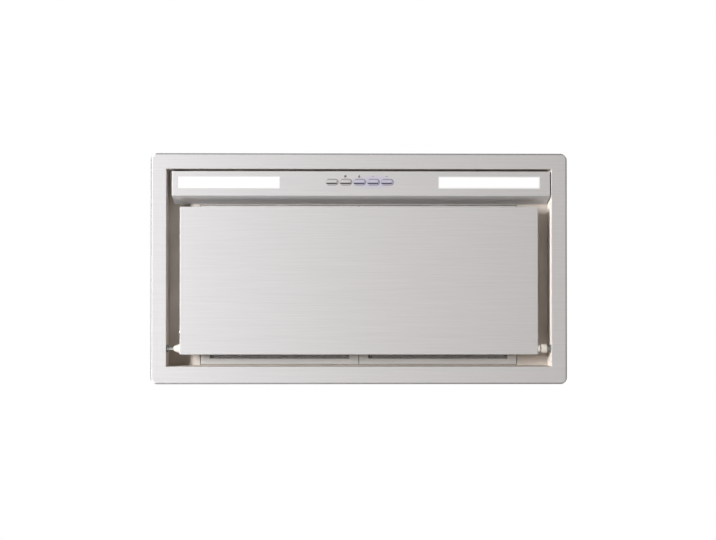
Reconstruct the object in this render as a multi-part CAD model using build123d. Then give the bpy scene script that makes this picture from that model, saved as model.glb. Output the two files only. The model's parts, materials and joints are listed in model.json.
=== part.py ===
from build123d import *
import math
import os

# Built-in range hood, in millimetres. +Z is up, -Y is the user's side and +X is to the right
# for the user, who faces +Y.
# The origin is the centre of the flange's upper edge, where it meets the cabinet.

os.makedirs("parts", exist_ok=True)

# Sheets and general clearances
frame_sheet = 1.0
casing_sheet = 0.8
fold_slack = 0.1
hole_slack = 0.1
running_slack = 0.05
rest_gap = 0.3
hole_mouth = 3.0

# Face frame: a flange with an upturned edge, and walls up round the recess
flange_width = 700.0
flange_depth = 388.0
flange_corner_radius = 11.0
flange_edge_height = 6.0
flange_edge_roll = 3.4
side_band = 26.4
front_band = 26.2
rear_band = 29.5
recess_depth = 45.0
recess_edge_bend = 0.8
seal_width = 9.0

# Screw holes through the recess walls into the cabinet's bottom board
cabinet_hole_radius = 2.6
cabinet_hole_spacing = 220.0
cabinet_hole_height = 9.0

# Filter tray: the ceiling of the recess, folded up along the walls
tray_fold_height = 11.5
tray_rear_ledge = 6.0
rivet_above_tray = 5.0
rivet_from_corner = 26.6
side_rivet_reach = 125.0

# Control and light bar
bar_front_gap = 4.0
bar_depth = 41.2
bar_left_gap = 9.0
bar_right_gap = 2.0
bar_slope_run = 12.0
bar_top_flange = 8.0
bar_bend = 1.0
bar_screw_from_end = 30.0

# Light strips
window_length = 171.5
window_width = 20.8
window_inner_x = 133.0
window_front_margin = 8.5
window_corner_radius = 0.8
diffuser_slack = 0.2
diffuser_flange = 2.5
diffuser_flange_thickness = 1.5
lamp_wall = 1.2
lamp_height = 13.0
light_board_width = 14.0
light_board_thickness = 1.6
light_chip_size = 3.0
light_chip_height = 0.8
light_chip_count = 12

# Push buttons and keypad
button_count = 5
button_pitch = 23.2
button_length = 17.4
button_width = 5.3
button_corner_radius = 1.8
button_crown_radius = 7.5
button_rounding = 0.4
button_proud = 1.2
button_travel = 0.8
button_moat = 0.9
button_side_gap = 0.3
button_flange = 1.8
button_flange_thickness = 1.2
button_front_margin = 18.2
stem_length = 6.0
stem_width = 4.0
stem_side_gap = 0.2
keypad_margin = 8.0
keypad_depth = 28.0
keypad_floor_height = 7.0
keypad_post = 5.0
keypad_post_height = 3.0
key_board_thickness = 1.6
key_switch_size = 6.0
key_lamp_size = 2.0
key_lamp_offset = 7.0

# Suction panel
panel_front_gap = 18.6
panel_width = 602.0
panel_depth = 248.1
panel_height = 14.0
panel_bend = 1.2
panel_rim_share = 0.9
inner_plate_sheet = 0.8
inner_plate_flange = 9.0
panel_screw_height = 9.0
panel_screw_front = 48.6
panel_screw_rear = 36.6

# Panel pivots: a nylon cone and a nylon spool with a steel pin each, in bushes in the walls
pivot_from_rear = 9.8
pivot_height = 8.0
pivot_pin_radius = 2.5
pivot_pin_head_radius = 4.5
pivot_pin_head = 2.0
knob_flange_radius = 8.0
knob_flange_length = 3.0
knob_neck_radius = 5.0
knob_neck_length = 3.0
knob_body_radius = 7.75
knob_body_length = 10.5
knob_body_rounding = 2.5
cone_length = 10.4
cone_base_radius = 8.0
cone_tip_radius = 4.2
cone_rounding = 1.2
bush_flange_radius = 6.0
bush_flange_thickness = 2.4
bush_spigot_radius = 4.0

# Magnet catches at the panel's front
catch_outside_filter = 14.0
catch_width = 14.0
catch_depth = 20.0
catch_from_front = 30.0
magnet_height = 4.0

# Grease filters
filter_gap = 1.2
filter_seam = 1.2
filter_height = 9.0
filter_half_span = 269.8
filter_rim = 9.0
filter_side_rim = 15.5
filter_groove_depth = 5.0
filter_mesh_thickness = 6.0
mesh_skin_thickness = 1.0
mesh_cell_count = 12
mesh_cell_web = 3.0
hook_width = 20.0
hook_thickness = 1.2
hook_reach = 4.5
hook_offset = 85.0
rail_width = 16.0
rail_foot = 9.0

# Filter latches
latch_travel = 7.0
latch_tongue_width = 18.0
latch_tongue_thickness = 1.5
latch_tongue_reach = 5.0
latch_slider_width = 40.0
latch_slider_length = 16.0
latch_slider_thickness = 3.0
latch_tab_width = 34.0
latch_tab_thickness = 3.0
latch_tab_drop = 11.0
latch_tab_rounding = 4.0
latch_guide_wall = 1.5
latch_guide_height = 7.5

# Casing above the flange
casing_height = 274.0
casing_flange = 12.0
corner_flange = 14.0
corner_flange_margin = 5.0
corner_screw_above_frame = 40.0
corner_screw_pitch = 70.0
corner_screw_count = 3
bead_depth = 2.0
bead_width = 16.0
wall_bead_length = 460.0
end_bead_length = 200.0
lower_bead_height = 120.0
upper_bead_height = 205.0
cover_bead_length = 240.0
cover_bead_height = 1.5
cover_bead_outer = 260.0
cover_bead_inner = 150.0

# Duct collar with two damper flaps
duct_y = 20.0
collar_radius = 74.4
collar_wall = 2.0
collar_height = 38.0
collar_edge_chamfer = 1.0
collar_flange_radius = 88.0
collar_flange_thickness = 2.0
damper_height = 16.0
spindle_radius = 2.0
flap_thickness = 1.2
flap_edge_gap = 1.0
flap_hinge_gap = 4.2
knuckle_radius = 3.6
knuckle_length = 20.0
knuckle_gap = 2.0
flap_stop_reach = 5.0
flap_stop_width = 8.0
flap_stop_height = 2.5

# Blower
impeller_radius = 70.0
impeller_length = 140.0
blade_inner_radius = 58.0
blade_count = 36
blade_thickness = 0.8
blade_bow = 2.4
impeller_ring_width = 3.0
impeller_disc_thickness = 1.5
hub_radius = 10.0
hub_length = 16.0
cutoff_gap = 6.0
volute_step = 12.0
neck_height = 17.0
scroll_sheet = 1.0
scroll_side_gap = 8.0
neck_flange = 16.0
inlet_radius = 53.0
inlet_sheet = 1.0
inlet_reach = 6.0
inlet_flange_radius = 66.0
motor_radius = 42.0
motor_front = 12.0
motor_edge_rounding = 5.0
motor_shaft_radius = 4.0
motor_shaft_depth = 10.0
motor_mount_radius = 6.0
motor_mount_length = 8.0
motor_mount_circle = 60.0
bracket_thickness = 2.0
bracket_arm_width = 12.0
bracket_disc_radius = 24.0
bracket_arm_count = 3

# Electrical box on the top cover
box_left = 190.0
box_front = -112.0
box_length = 110.0
box_depth = 90.0
box_height = 32.0
box_wall = 2.0
box_corner_radius = 4.0
box_inner_corner = 0.5
box_part_gap = 4.0
lid_lip = 3.0
lid_rounding_share = 0.4
lid_post_radius = 4.0
board_length = 60.0
board_thickness = 1.6
board_standoff = 4.0
board_side_gap = 1.0
standoff_radius = 2.5
standoff_inset = 6.0
transformer_size = (28.0, 24.0, 18.0)
relay_size = (12.0, 18.0, 14.0)
relay_count = 2
coil_radius = 7.0
coil_height = 12.0
capacitor_radius = 11.0
capacitor_length = 44.0
capacitor_rounding = 1.5
terminal_size = (26.0, 14.0, 16.0)
terminal_count = 3
terminal_hole_radius = 2.4
gland_bore_radius = 4.2
gland_flange_radius = 11.0
gland_flange_thickness = 4.0
gland_body_radius = 8.5
gland_body_length = 12.0
gland_dome_share = 0.7
gland_thread_radius = 7.0
gland_inner_length = 6.0
gland_from_right = 24.0
gland_above_cover = 16.0
lock_nut_thickness = 4.0
driver_size = (100.0, 28.0, 22.0)
driver_x = -150.0
driver_corner_radius = 2.0

# Side spring clips
clip_width = 30.0
clip_thickness = 1.0
clip_top = 104.0
clip_anchor = 22.0
clip_bulge = 13.0
clip_bulge_height = 34.0
clip_foot_height = 22.0
clip_foot_out = 4.0
clip_bend_radius = 6.0
clip_spacing = 200.0

# Fasteners
rivet_radius = 1.6
rivet_head_radius = 3.2
rivet_head = 1.0
rivet_tail_radius = 2.6
rivet_tail = 1.2
head_rounding = 0.55
screw_radius = 1.75
screw_head_radius = 3.5
screw_head = 2.2
screw_tip = 3.0
small_screw_radius = 1.5
small_screw_head_radius = 2.8
small_screw_head = 1.7

# Levels and edges worked out from the sizes above
face_z = -flange_edge_height
skin_top = face_z + frame_sheet
ceiling_z = face_z + recess_depth
tray_top = ceiling_z + frame_sheet
wall_top = ceiling_z + tray_fold_height
open_x = flange_width / 2 - side_band
open_front = front_band - flange_depth / 2
open_rear = flange_depth / 2 - rear_band
casing_x = open_x + frame_sheet
casing_front_y = open_front - frame_sheet
casing_rear_y = open_rear + frame_sheet
shell_x = casing_x + casing_sheet
shell_front_y = casing_front_y - casing_sheet
shell_rear_y = casing_rear_y + casing_sheet
casing_top = face_z + casing_height
cover_top = casing_top + casing_sheet

bar_front = open_front + bar_front_gap
bar_rear = bar_front + bar_depth
bar_rear_top = bar_rear + bar_slope_run
bar_left = bar_left_gap - open_x
bar_right = open_x - bar_right_gap

window_x = window_inner_x + window_length / 2
window_y = bar_front + window_front_margin + window_width / 2
lamp_top = skin_top + lamp_height
button_y = bar_front + button_front_margin
button_flange_top = skin_top + running_slack + button_flange_thickness
keypad_pocket_top = button_flange_top + button_travel + running_slack
keypad_top = skin_top + keypad_floor_height
switch_bottom = keypad_top + button_travel + running_slack
key_board_bottom = keypad_top + keypad_post_height

panel_front = bar_rear + panel_front_gap
panel_rear = panel_front + panel_depth
panel_x = panel_width / 2
panel_top = face_z + panel_height
pivot_y = panel_rear - pivot_from_rear
pivot_z = face_z + pivot_height

filter_rear = open_rear - fold_slack - frame_sheet - filter_gap
filter_front = bar_rear_top + frame_sheet + filter_gap
filter_top = ceiling_z + filter_height
mesh_bottom = ceiling_z + (filter_height - filter_mesh_thickness) / 2
mesh_top = mesh_bottom + filter_mesh_thickness
latch_bottom = tray_top + rest_gap
tongue_top = latch_bottom + latch_tongue_thickness
guide_front = filter_front + filter_rim
guide_length = latch_slider_length + latch_travel + 2 * latch_guide_wall + 2 * rest_gap
slider_front = guide_front + latch_guide_wall + rest_gap
slider_rear = slider_front + latch_slider_length
tab_front = slider_front + (latch_slider_length - latch_tab_thickness) / 2
tab_rear = tab_front + latch_tab_thickness

collar_inner = collar_radius - collar_wall
collar_base_top = cover_top + collar_flange_thickness
damper_z = collar_base_top + damper_height

mouth_rear = volute_step / 2 + impeller_radius + cutoff_gap + 2.5 * volute_step
mouth_front = -volute_step / 2
blower_y = duct_y - (mouth_rear + mouth_front) / 2
blower_z = casing_top - neck_height - impeller_radius - cutoff_gap
scroll_x = impeller_length / 2 + scroll_side_gap
inlet_x = scroll_x + scroll_sheet
mount_start_x = inlet_x + inlet_sheet
motor_back = mount_start_x + motor_mount_length
box_floor = cover_top + box_wall

LEFT = -1
RIGHT = 1
SIDES = (LEFT, RIGHT)
UP = (0, 0, 1)


# Shapes that repeat
def block(x, y, z):
    """A box given by its two ends along each axis, in any order."""
    size = [abs(ends[1] - ends[0]) for ends in (x, y, z)]
    middle = [(ends[0] + ends[1]) / 2 for ends in (x, y, z)]
    return Pos(*middle) * Box(*size)


def rounded_block(x, y, z, radius):
    """A block with its upright edges rounded."""
    outline = RectangleRounded(abs(x[1] - x[0]), abs(y[1] - y[0]), radius)
    middle = ((x[0] + x[1]) / 2, (y[0] + y[1]) / 2, min(z))
    return Pos(*middle) * extrude(outline, abs(z[1] - z[0]))


def around(middle, half):
    """The two ends of a stretch, from its middle and half its length."""
    return (middle - half, middle + half)


def seat_at(x, y, z, direction):
    """A place for a round piece: a point, and the way that its axis points."""
    return Plane(origin=(x, y, z), z_dir=direction)


def rod(seat, radius, start, end):
    """A cylinder on the seat's axis, from one distance along it to another."""
    return seat * Pos(0, 0, (start + end) / 2) * Cylinder(radius, end - start)


def far_edge(shape, seat):
    return shape.edges().sort_by_distance(seat.origin)[-1]


def drill(shape, seats, radius, depth):
    """Cut a hole at each seat, from a little outside it down to the depth."""
    for seat in seats:
        shape -= rod(seat, radius, -depth, hole_mouth)
    return shape


def screw(seat, radius, length, head_radius, head):
    """A screw whose head stands on the seat and whose shank goes into it."""
    top = rod(seat, head_radius, 0, head)
    top = fillet(far_edge(top, seat), head * head_rounding)
    return top + rod(seat, radius, -length, 0)


def casing_screw(seat, length):
    return screw(seat, screw_radius, length, screw_head_radius, screw_head)


def small_screw(seat, length):
    return screw(seat, small_screw_radius, length, small_screw_head_radius, small_screw_head)


def rivet(seat, grip):
    """A blind rivet through a stack as thick as the grip."""
    outside = rod(seat, rivet_head_radius, 0, rivet_head)
    outside = fillet(far_edge(outside, seat), rivet_head * head_rounding)
    tail = rod(seat, rivet_tail_radius, -grip - rivet_tail, -grip)
    return outside + rod(seat, rivet_radius, -grip, 0) + tail


def lowest_edges(shape, level):
    return [edge for edge in shape.edges() if abs(edge.bounding_box().max.Z - level) < 1e-6]


def save(name, *solids):
    """Write one node, with its solids kept apart."""
    pieces = [piece for solid in solids for piece in solid.solids()]
    export_step(Compound(children=pieces), f"parts/{name}.step")


# Seats of the fasteners, shared by each fastener and the holes that it goes through
def frame_rivet_seats():
    """Rivets that join the tray, the recess walls and the casing."""
    level = tray_top + rivet_above_tray
    outer = open_x - rivet_from_corner
    front_row = (-outer, -outer / 2, 0, outer / 2, outer)
    seats = [seat_at(x, shell_front_y, level, (0, -1, 0)) for x in front_row]
    seats += [seat_at(x, shell_rear_y, level, (0, 1, 0)) for x in (-outer, outer)]
    for side in SIDES:
        for end in (-1, 0, 1):
            seats.append(seat_at(side * shell_x, end * side_rivet_reach, level, (side, 0, 0)))
    return seats


def cabinet_hole_seats():
    seats = []
    for side in SIDES:
        for y in around(0, cabinet_hole_spacing / 2):
            seats.append(seat_at(side * shell_x, y, cabinet_hole_height, (side, 0, 0)))
    return seats


def bush_seats():
    return [seat_at(side * open_x, pivot_y, pivot_z, (side, 0, 0)) for side in SIDES]


def bar_screw_seats():
    """Screws from the tray down into the bar's two top flanges."""
    rows = (bar_front + bar_top_flange / 2, bar_rear_top - bar_top_flange / 2)
    reach = -bar_left - bar_screw_from_end
    seats = []
    for y in rows:
        for x in (-reach, -reach / 3, reach / 3, reach):
            seats.append(seat_at(x, y, tray_top, UP))
    return seats


def corner_screw_seats():
    """Screws through each side wall into the end flanges of the front and rear walls."""
    inset = corner_flange / 2 + casing_sheet
    seats = []
    for side in SIDES:
        for y in (casing_front_y + inset, casing_rear_y - inset):
            for row in range(corner_screw_count):
                level = wall_top + corner_screw_above_frame + row * corner_screw_pitch
                seats.append(seat_at(side * shell_x, y, level, (side, 0, 0)))
    return seats


def cover_screw_seats():
    reach = casing_x - casing_flange / 2
    outer = reach - corner_flange
    seats = [seat_at(side * reach, 0, cover_top, UP) for side in SIDES]
    for y in (casing_front_y + casing_flange / 2, casing_rear_y - casing_flange / 2):
        for x in (-outer, -outer / 2, 0, outer / 2, outer):
            seats.append(seat_at(x, y, cover_top, UP))
    return seats


def collar_screw_seats():
    circle = (collar_radius + collar_flange_radius) / 2
    seats = []
    for angle in (30, 150, 210, 330):
        x = circle * math.cos(math.radians(angle))
        y = duct_y + circle * math.sin(math.radians(angle))
        seats.append(seat_at(x, y, collar_base_top, UP))
    return seats


def blower_screw_seats():
    reach = inlet_x + neck_flange / 2
    rows = (blower_y + mouth_front - neck_flange / 2, blower_y + mouth_rear + neck_flange / 2)
    return [seat_at(side * reach, y, cover_top, UP) for side in SIDES for y in rows]


def lid_screw_seats():
    inset = box_wall + lid_post_radius
    seats = []
    for x in (box_left + inset, box_left + box_length - inset):
        for y in (box_front + inset, box_front + box_depth - inset):
            seats.append(seat_at(x, y, cover_top + box_height + box_wall, UP))
    return seats


def clip_rivet_seats():
    seats = []
    for side in SIDES:
        for y in around(0, clip_spacing / 2):
            for drop in (clip_anchor / 4, 3 * clip_anchor / 4):
                seats.append(seat_at(side * (shell_x + clip_thickness), y, clip_top - drop, (side, 0, 0)))
    return seats


def panel_screw_seats():
    level = face_z + panel_screw_height
    rows = (panel_front + panel_screw_front, panel_rear - panel_screw_rear)
    return [seat_at(side * panel_x, y, level, (side, 0, 0)) for side in SIDES for y in rows]


def knob_seats():
    """Where the pivots stand on the panel's sides, pointing outwards."""
    return [seat_at(side * panel_x, pivot_y, pivot_z, (side, 0, 0)) for side in SIDES]


def catch_middle(side):
    return side * (filter_half_span + filter_gap + catch_outside_filter), panel_front + catch_from_front


def catch_screw_seats():
    return [seat_at(*catch_middle(side), tray_top, UP) for side in SIDES]


# Face frame and the seal above it
def face_frame():
    flange = flange_pan(0, face_z)
    hollow = flange_pan(frame_sheet, skin_top)
    walls = block((-casing_x, casing_x), (casing_front_y, casing_rear_y), (face_z, wall_top))
    opening = block((-open_x, open_x), (open_front, open_rear), (face_z, wall_top))
    frame = flange - hollow + walls - opening
    frame = fillet(recess_rim(frame), recess_edge_bend)
    depth = casing_sheet + 2 * frame_sheet
    frame = drill(frame, cabinet_hole_seats(), cabinet_hole_radius, depth)
    frame = drill(frame, frame_rivet_seats(), rivet_radius + hole_slack, depth)
    for seat in bush_seats():
        frame -= rod(seat, bush_spigot_radius + hole_slack, -frame_sheet, 2 * frame_sheet)
    return frame


def flange_pan(inset, bottom):
    """The flange as a rounded pan with a rolled lower edge, drawn in by the inset."""
    x = around(0, flange_width / 2 - inset)
    y = around(0, flange_depth / 2 - inset)
    pan = rounded_block(x, y, (bottom, 0), flange_corner_radius - inset)
    return fillet(lowest_edges(pan, bottom), flange_edge_roll - inset)


def recess_rim(frame):
    """The lowest edges round the recess's opening."""
    rim = []
    for edge in lowest_edges(frame, face_z):
        middle = edge.center()
        in_width = abs(middle.X) < casing_x
        in_depth = casing_front_y < middle.Y < casing_rear_y
        if in_width and in_depth:
            rim.append(edge)
    return rim


def cabinet_seal():
    """A foam strip round the casing, on the flange's upper side."""
    strip = seal_block(rest_gap + seal_width)
    return strip - seal_block(rest_gap)


def seal_block(reach):
    """A block as high as the seal, standing out from the casing by the reach."""
    width = (-shell_x - reach, shell_x + reach)
    return block(width, (shell_front_y - reach, shell_rear_y + reach), (skin_top, 0))


# Filter tray and the rail over the filters' seam
def filter_tray():
    tray_x = open_x - fold_slack
    front = open_front + fold_slack
    fold_face = tray_rear_face()
    inner_x = tray_x - frame_sheet
    tray = block((-tray_x, tray_x), (front, open_rear - fold_slack), (ceiling_z, wall_top))
    tray -= block((-inner_x, inner_x), (front + frame_sheet, fold_face), (tray_top, wall_top))
    way_x = filter_half_span + filter_gap
    tray -= block((-way_x, way_x), (filter_front - filter_gap, fold_face), (ceiling_z, tray_top))
    ledge_y = (fold_face - tray_rear_ledge, fold_face)
    tray += block((-way_x, way_x), ledge_y, (wall_top - frame_sheet, wall_top))
    tray = drill(tray, frame_rivet_seats(), rivet_radius + hole_slack, casing_sheet + 3 * frame_sheet)
    tray = drill(tray, bar_screw_seats(), small_screw_radius + hole_slack, 2 * frame_sheet)
    return drill(tray, catch_screw_seats(), small_screw_radius + hole_slack, 2 * frame_sheet)


def tray_rear_face():
    """The inner face of the tray's rear fold."""
    return open_rear - fold_slack - frame_sheet


def filter_rail():
    """A strip over the filters' seam, from the rear ledge to a foot in front of them."""
    width = (-rail_width / 2, rail_width / 2)
    leg_rear = filter_front - filter_gap - frame_sheet
    leg_front = leg_rear - frame_sheet
    strip_top = wall_top + frame_sheet
    strip = block(width, (leg_front, tray_rear_face()), (wall_top, strip_top))
    leg = block(width, (leg_front, leg_rear), (tray_top, strip_top))
    foot = block(width, (leg_rear - rail_foot, leg_rear), (tray_top, tray_top + frame_sheet))
    return strip + leg + foot


# Control and light bar
def bar_section(inset):
    """The bar's section, seen along X, drawn in by the inset except at its open top."""
    slope = math.atan2(bar_slope_run, recess_depth)
    shift = inset / math.cos(slope) - inset * math.tan(slope)
    bottom = face_z + inset
    rise = (ceiling_z - bottom) * math.tan(slope)
    points = [
        (bar_front + inset, bottom),
        (bar_rear - shift, bottom),
        (bar_rear - shift + rise, ceiling_z),
        (bar_front + inset, ceiling_z),
    ]
    return Plane.YZ * Polygon(*points, align=None)


def bar_body(inset):
    """The bar as a solid along X, drawn in by the inset."""
    length = bar_right - bar_left - 2 * inset
    return Pos(bar_left + inset, 0, 0) * extrude(bar_section(inset), length)


def control_bar():
    outside = bar_body(0)
    outside = fillet(lowest_edges(outside, face_z), bar_bend)
    room = bar_body(frame_sheet)
    length = (bar_left, bar_right)
    under_flanges = (ceiling_z - frame_sheet, ceiling_z)
    front_flange = block(length, (bar_front, bar_front + bar_top_flange), under_flanges)
    rear_flange = block(length, (bar_rear_top - bar_top_flange, bar_rear_top), under_flanges)
    bar = outside - (room - front_flange - rear_flange)
    for side in SIDES:
        bar -= window(side, 0, (face_z, skin_top), window_corner_radius)
    for x in button_places():
        bar -= button_block(x, button_moat, (face_z, skin_top))
    return drill(bar, bar_screw_seats(), small_screw_radius + hole_slack, 4 * frame_sheet)


def window(side, grow, z, radius):
    """The shape of a light window, larger all round by grow."""
    x = around(side * window_x, window_length / 2 + grow)
    y = around(window_y, window_width / 2 + grow)
    return rounded_block(x, y, z, radius)


def light_diffuser(side):
    """A lens flush with the bar's face, with a flange that rests inside it."""
    flange_top = skin_top + diffuser_flange_thickness
    lens = window(side, -diffuser_slack, (face_z, skin_top), window_corner_radius)
    return lens + window(side, diffuser_flange, (skin_top, flange_top), window_corner_radius)


def lamp_housing(side):
    """A reflector box over the diffuser's flange."""
    room = diffuser_flange + diffuser_slack
    outside = window(side, room + lamp_wall, (skin_top, lamp_top), window_corner_radius + lamp_wall)
    return outside - window(side, room, (skin_top, lamp_top - lamp_wall), window_corner_radius)


def light_board(side):
    """A board with a row of light chips, under the top of the lamp housing."""
    top = lamp_top - lamp_wall
    bottom = top - light_board_thickness
    centre = side * window_x
    half = window_length / 2 - diffuser_flange
    pieces = [block(around(centre, half), around(window_y, light_board_width / 2), (bottom, top))]
    pitch = 2 * half / light_chip_count
    across = around(window_y, light_chip_size / 2)
    for index in range(light_chip_count):
        x = centre - half + (index + 0.5) * pitch
        pieces.append(block(around(x, light_chip_size / 2), across, (bottom - light_chip_height, bottom)))
    return pieces


# Buttons and keypad
def button_places():
    first = -(button_count - 1) / 2
    return [(first + index) * button_pitch for index in range(button_count)]


def button_block(x, grow, z):
    """The shape of a button, larger all round by grow."""
    along = around(x, button_length / 2 + grow)
    across = around(button_y, button_width / 2 + grow)
    return rounded_block(along, across, z, button_corner_radius + grow)


def stem_block(x, grow, z):
    return block(around(x, stem_length / 2 + grow), around(button_y, stem_width / 2 + grow), z)


def push_button(x):
    """A crowned cap proud of the bar, a flange that rests inside it, and a stem to the switch."""
    cap_bottom = face_z - button_proud
    flange_bottom = skin_top + running_slack
    crown = seat_at(x, button_y, cap_bottom + button_crown_radius, (1, 0, 0))
    cap = button_block(x, 0, (cap_bottom, flange_bottom))
    cap &= rod(crown, button_crown_radius, -button_length, button_length)
    cap = fillet(cap.faces().sort_by(Axis.Z)[0].edges(), button_rounding)
    flange = button_block(x, button_flange, (flange_bottom, button_flange_top))
    return cap + flange + stem_block(x, 0, (button_flange_top, keypad_top))


def keypad_extent():
    half_length = (button_count - 1) / 2 * button_pitch + button_length / 2 + keypad_margin
    return (-half_length, half_length), around(button_y, keypad_depth / 2)


def keypad_housing():
    """A block with a pocket for each button, and four posts that carry the board."""
    x, y = keypad_extent()
    housing = block(x, y, (skin_top, keypad_top))
    for place in button_places():
        housing -= button_block(place, button_flange + button_side_gap, (skin_top, keypad_pocket_top))
        housing -= stem_block(place, stem_side_gap, (keypad_pocket_top, keypad_top))
    for post_x in (x[0], x[1] - keypad_post):
        for post_y in (y[0], y[1] - keypad_post):
            along = (post_x, post_x + keypad_post)
            across = (post_y, post_y + keypad_post)
            housing += block(along, across, (keypad_top, key_board_bottom))
    return housing


def keypad_board():
    """The circuit board, with a small lamp in front of each switch."""
    x, y = keypad_extent()
    half = key_lamp_size / 2
    pieces = [block(x, y, (key_board_bottom, key_board_bottom + key_board_thickness))]
    for place in button_places():
        across = around(button_y - key_lamp_offset, half)
        pieces.append(block(around(place, half), across, (key_board_bottom - half, key_board_bottom)))
    return pieces


def key_switches():
    half = key_switch_size / 2
    level = (switch_bottom, key_board_bottom)
    return [block(around(x, half), around(button_y, half), level) for x in button_places()]


# Suction panel
def suction_panel():
    """The panel's skin: a tray with its rim turned up."""
    inner_x = panel_x - frame_sheet
    skin = block((-panel_x, panel_x), (panel_front, panel_rear), (face_z, panel_top))
    skin = fillet(skin.edges().filter_by(Axis.Z), panel_bend)
    skin = fillet(lowest_edges(skin, face_z), panel_bend * panel_rim_share)
    inner_y = (panel_front + frame_sheet, panel_rear - frame_sheet)
    skin -= block((-inner_x, inner_x), inner_y, (skin_top, panel_top))
    return drill_panel(skin, 2 * frame_sheet)


def drill_panel(sheet, depth):
    """Holes for the side screws and the pivot pins."""
    sheet = drill(sheet, panel_screw_seats(), small_screw_radius + hole_slack, depth)
    return drill(sheet, knob_seats(), pivot_pin_radius + hole_slack, depth)


def panel_inner_plate():
    """The plate that closes the panel's back, with flanges folded down inside the skin."""
    outer_x = panel_x - frame_sheet
    inner_x = outer_x - inner_plate_sheet
    front = panel_front + frame_sheet
    rear = panel_rear - frame_sheet
    bottom = panel_top - inner_plate_flange
    plate = block((-outer_x, outer_x), (front, rear), (bottom, panel_top))
    inner_y = (front + inner_plate_sheet, rear - inner_plate_sheet)
    plate -= block((-inner_x, inner_x), inner_y, (bottom, panel_top - inner_plate_sheet))
    return drill_panel(plate, 3 * frame_sheet)


def pivot_knob(seat):
    """A nylon spool between the panel and the recess wall."""
    neck_end = knob_flange_length + knob_neck_length
    body_end = neck_end + knob_body_length
    body = rod(seat, knob_body_radius, neck_end, body_end)
    body = fillet(far_edge(body, seat), knob_body_rounding)
    knob = body + rod(seat, knob_flange_radius, 0, knob_flange_length)
    knob += rod(seat, knob_neck_radius, knob_flange_length, neck_end)
    return knob - rod(seat, pivot_pin_radius + hole_slack, 0, body_end)


def pivot_cone(seat):
    """A nylon cone that stands on the panel and ends short of the recess wall."""
    cone = seat * Pos(0, 0, cone_length / 2) * Cone(cone_base_radius, cone_tip_radius, cone_length)
    cone = fillet(far_edge(cone, seat), cone_rounding)
    return cone - rod(seat, pivot_pin_radius + hole_slack, 0, cone_length)


def pivot_pin(seat):
    """A headed pin from inside the panel, through the knob and into the bush."""
    head_face = -frame_sheet - inner_plate_sheet
    tip = casing_x - panel_x - fold_slack
    head = rod(seat, pivot_pin_head_radius, head_face - pivot_pin_head, head_face)
    return head + rod(seat, pivot_pin_radius, head_face, tip)


def pivot_bush(seat):
    """The bush in the recess wall that the pin turns in."""
    spigot_end = frame_sheet + casing_sheet
    flange = rod(seat, bush_flange_radius, -bush_flange_thickness, 0)
    bush = flange + rod(seat, bush_spigot_radius, 0, spigot_end)
    return bush - rod(seat, pivot_pin_radius + running_slack, -bush_flange_thickness, spigot_end)


def catch_block(side, width, z):
    x, y = catch_middle(side)
    return block(around(x, width / 2), around(y, catch_depth / 2), z)


def catch_post(side):
    """A channel that hangs from the tray and holds the magnet over the panel's plate."""
    bottom = panel_top + rest_gap + magnet_height
    post = catch_block(side, catch_width, (bottom, ceiling_z))
    room = (bottom + frame_sheet, ceiling_z - frame_sheet)
    post -= catch_block(side, catch_width - 2 * frame_sheet, room)
    return drill(post, catch_screw_seats(), small_screw_radius, 3 * frame_sheet)


def catch_magnet(side):
    bottom = panel_top + rest_gap
    return catch_block(side, catch_width, (bottom, bottom + magnet_height))


# Grease filters
def filter_block(side, side_inset, end_inset, z):
    """A block over one filter, drawn in at its two sides and at its front and rear."""
    inner = side * (filter_seam / 2 + side_inset)
    outer = side * (filter_half_span - side_inset)
    return block((inner, outer), (filter_front + end_inset, filter_rear - end_inset), z)


def filter_frame(side):
    """The filter's rim, with a groove for the mesh, two rear hooks and a slot for the latch."""
    level = (ceiling_z, filter_top)
    groove_level = (mesh_bottom - hole_slack, mesh_top + hole_slack)
    frame = filter_block(side, 0, 0, level) - filter_block(side, filter_side_rim, filter_rim, level)
    side_groove = filter_side_rim - filter_groove_depth
    frame -= filter_block(side, side_groove, filter_rim - filter_groove_depth, groove_level)
    for end in SIDES:
        frame += filter_hook(filter_middle(side) + end * hook_offset)
    across = around(filter_middle(side), latch_tongue_width / 2 + hole_slack)
    way = (filter_front, filter_front + filter_rim)
    return frame - block(across, way, (latch_bottom - hole_slack, tongue_top + hole_slack))


def filter_hook(x):
    """A hook that lies over the tray's rear ledge."""
    width = around(x, hook_width / 2)
    post_rear = tray_rear_face() - tray_rear_ledge - filter_gap
    post_front = post_rear - hook_thickness
    bottom = wall_top + rest_gap
    top = bottom + hook_thickness
    post = block(width, (post_front, post_rear), (filter_top - hook_thickness, top))
    return post + block(width, (post_front, post_rear + filter_gap + hook_reach), (bottom, top))


def filter_middle(side):
    return side * (filter_seam / 2 + filter_half_span) / 2


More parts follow.
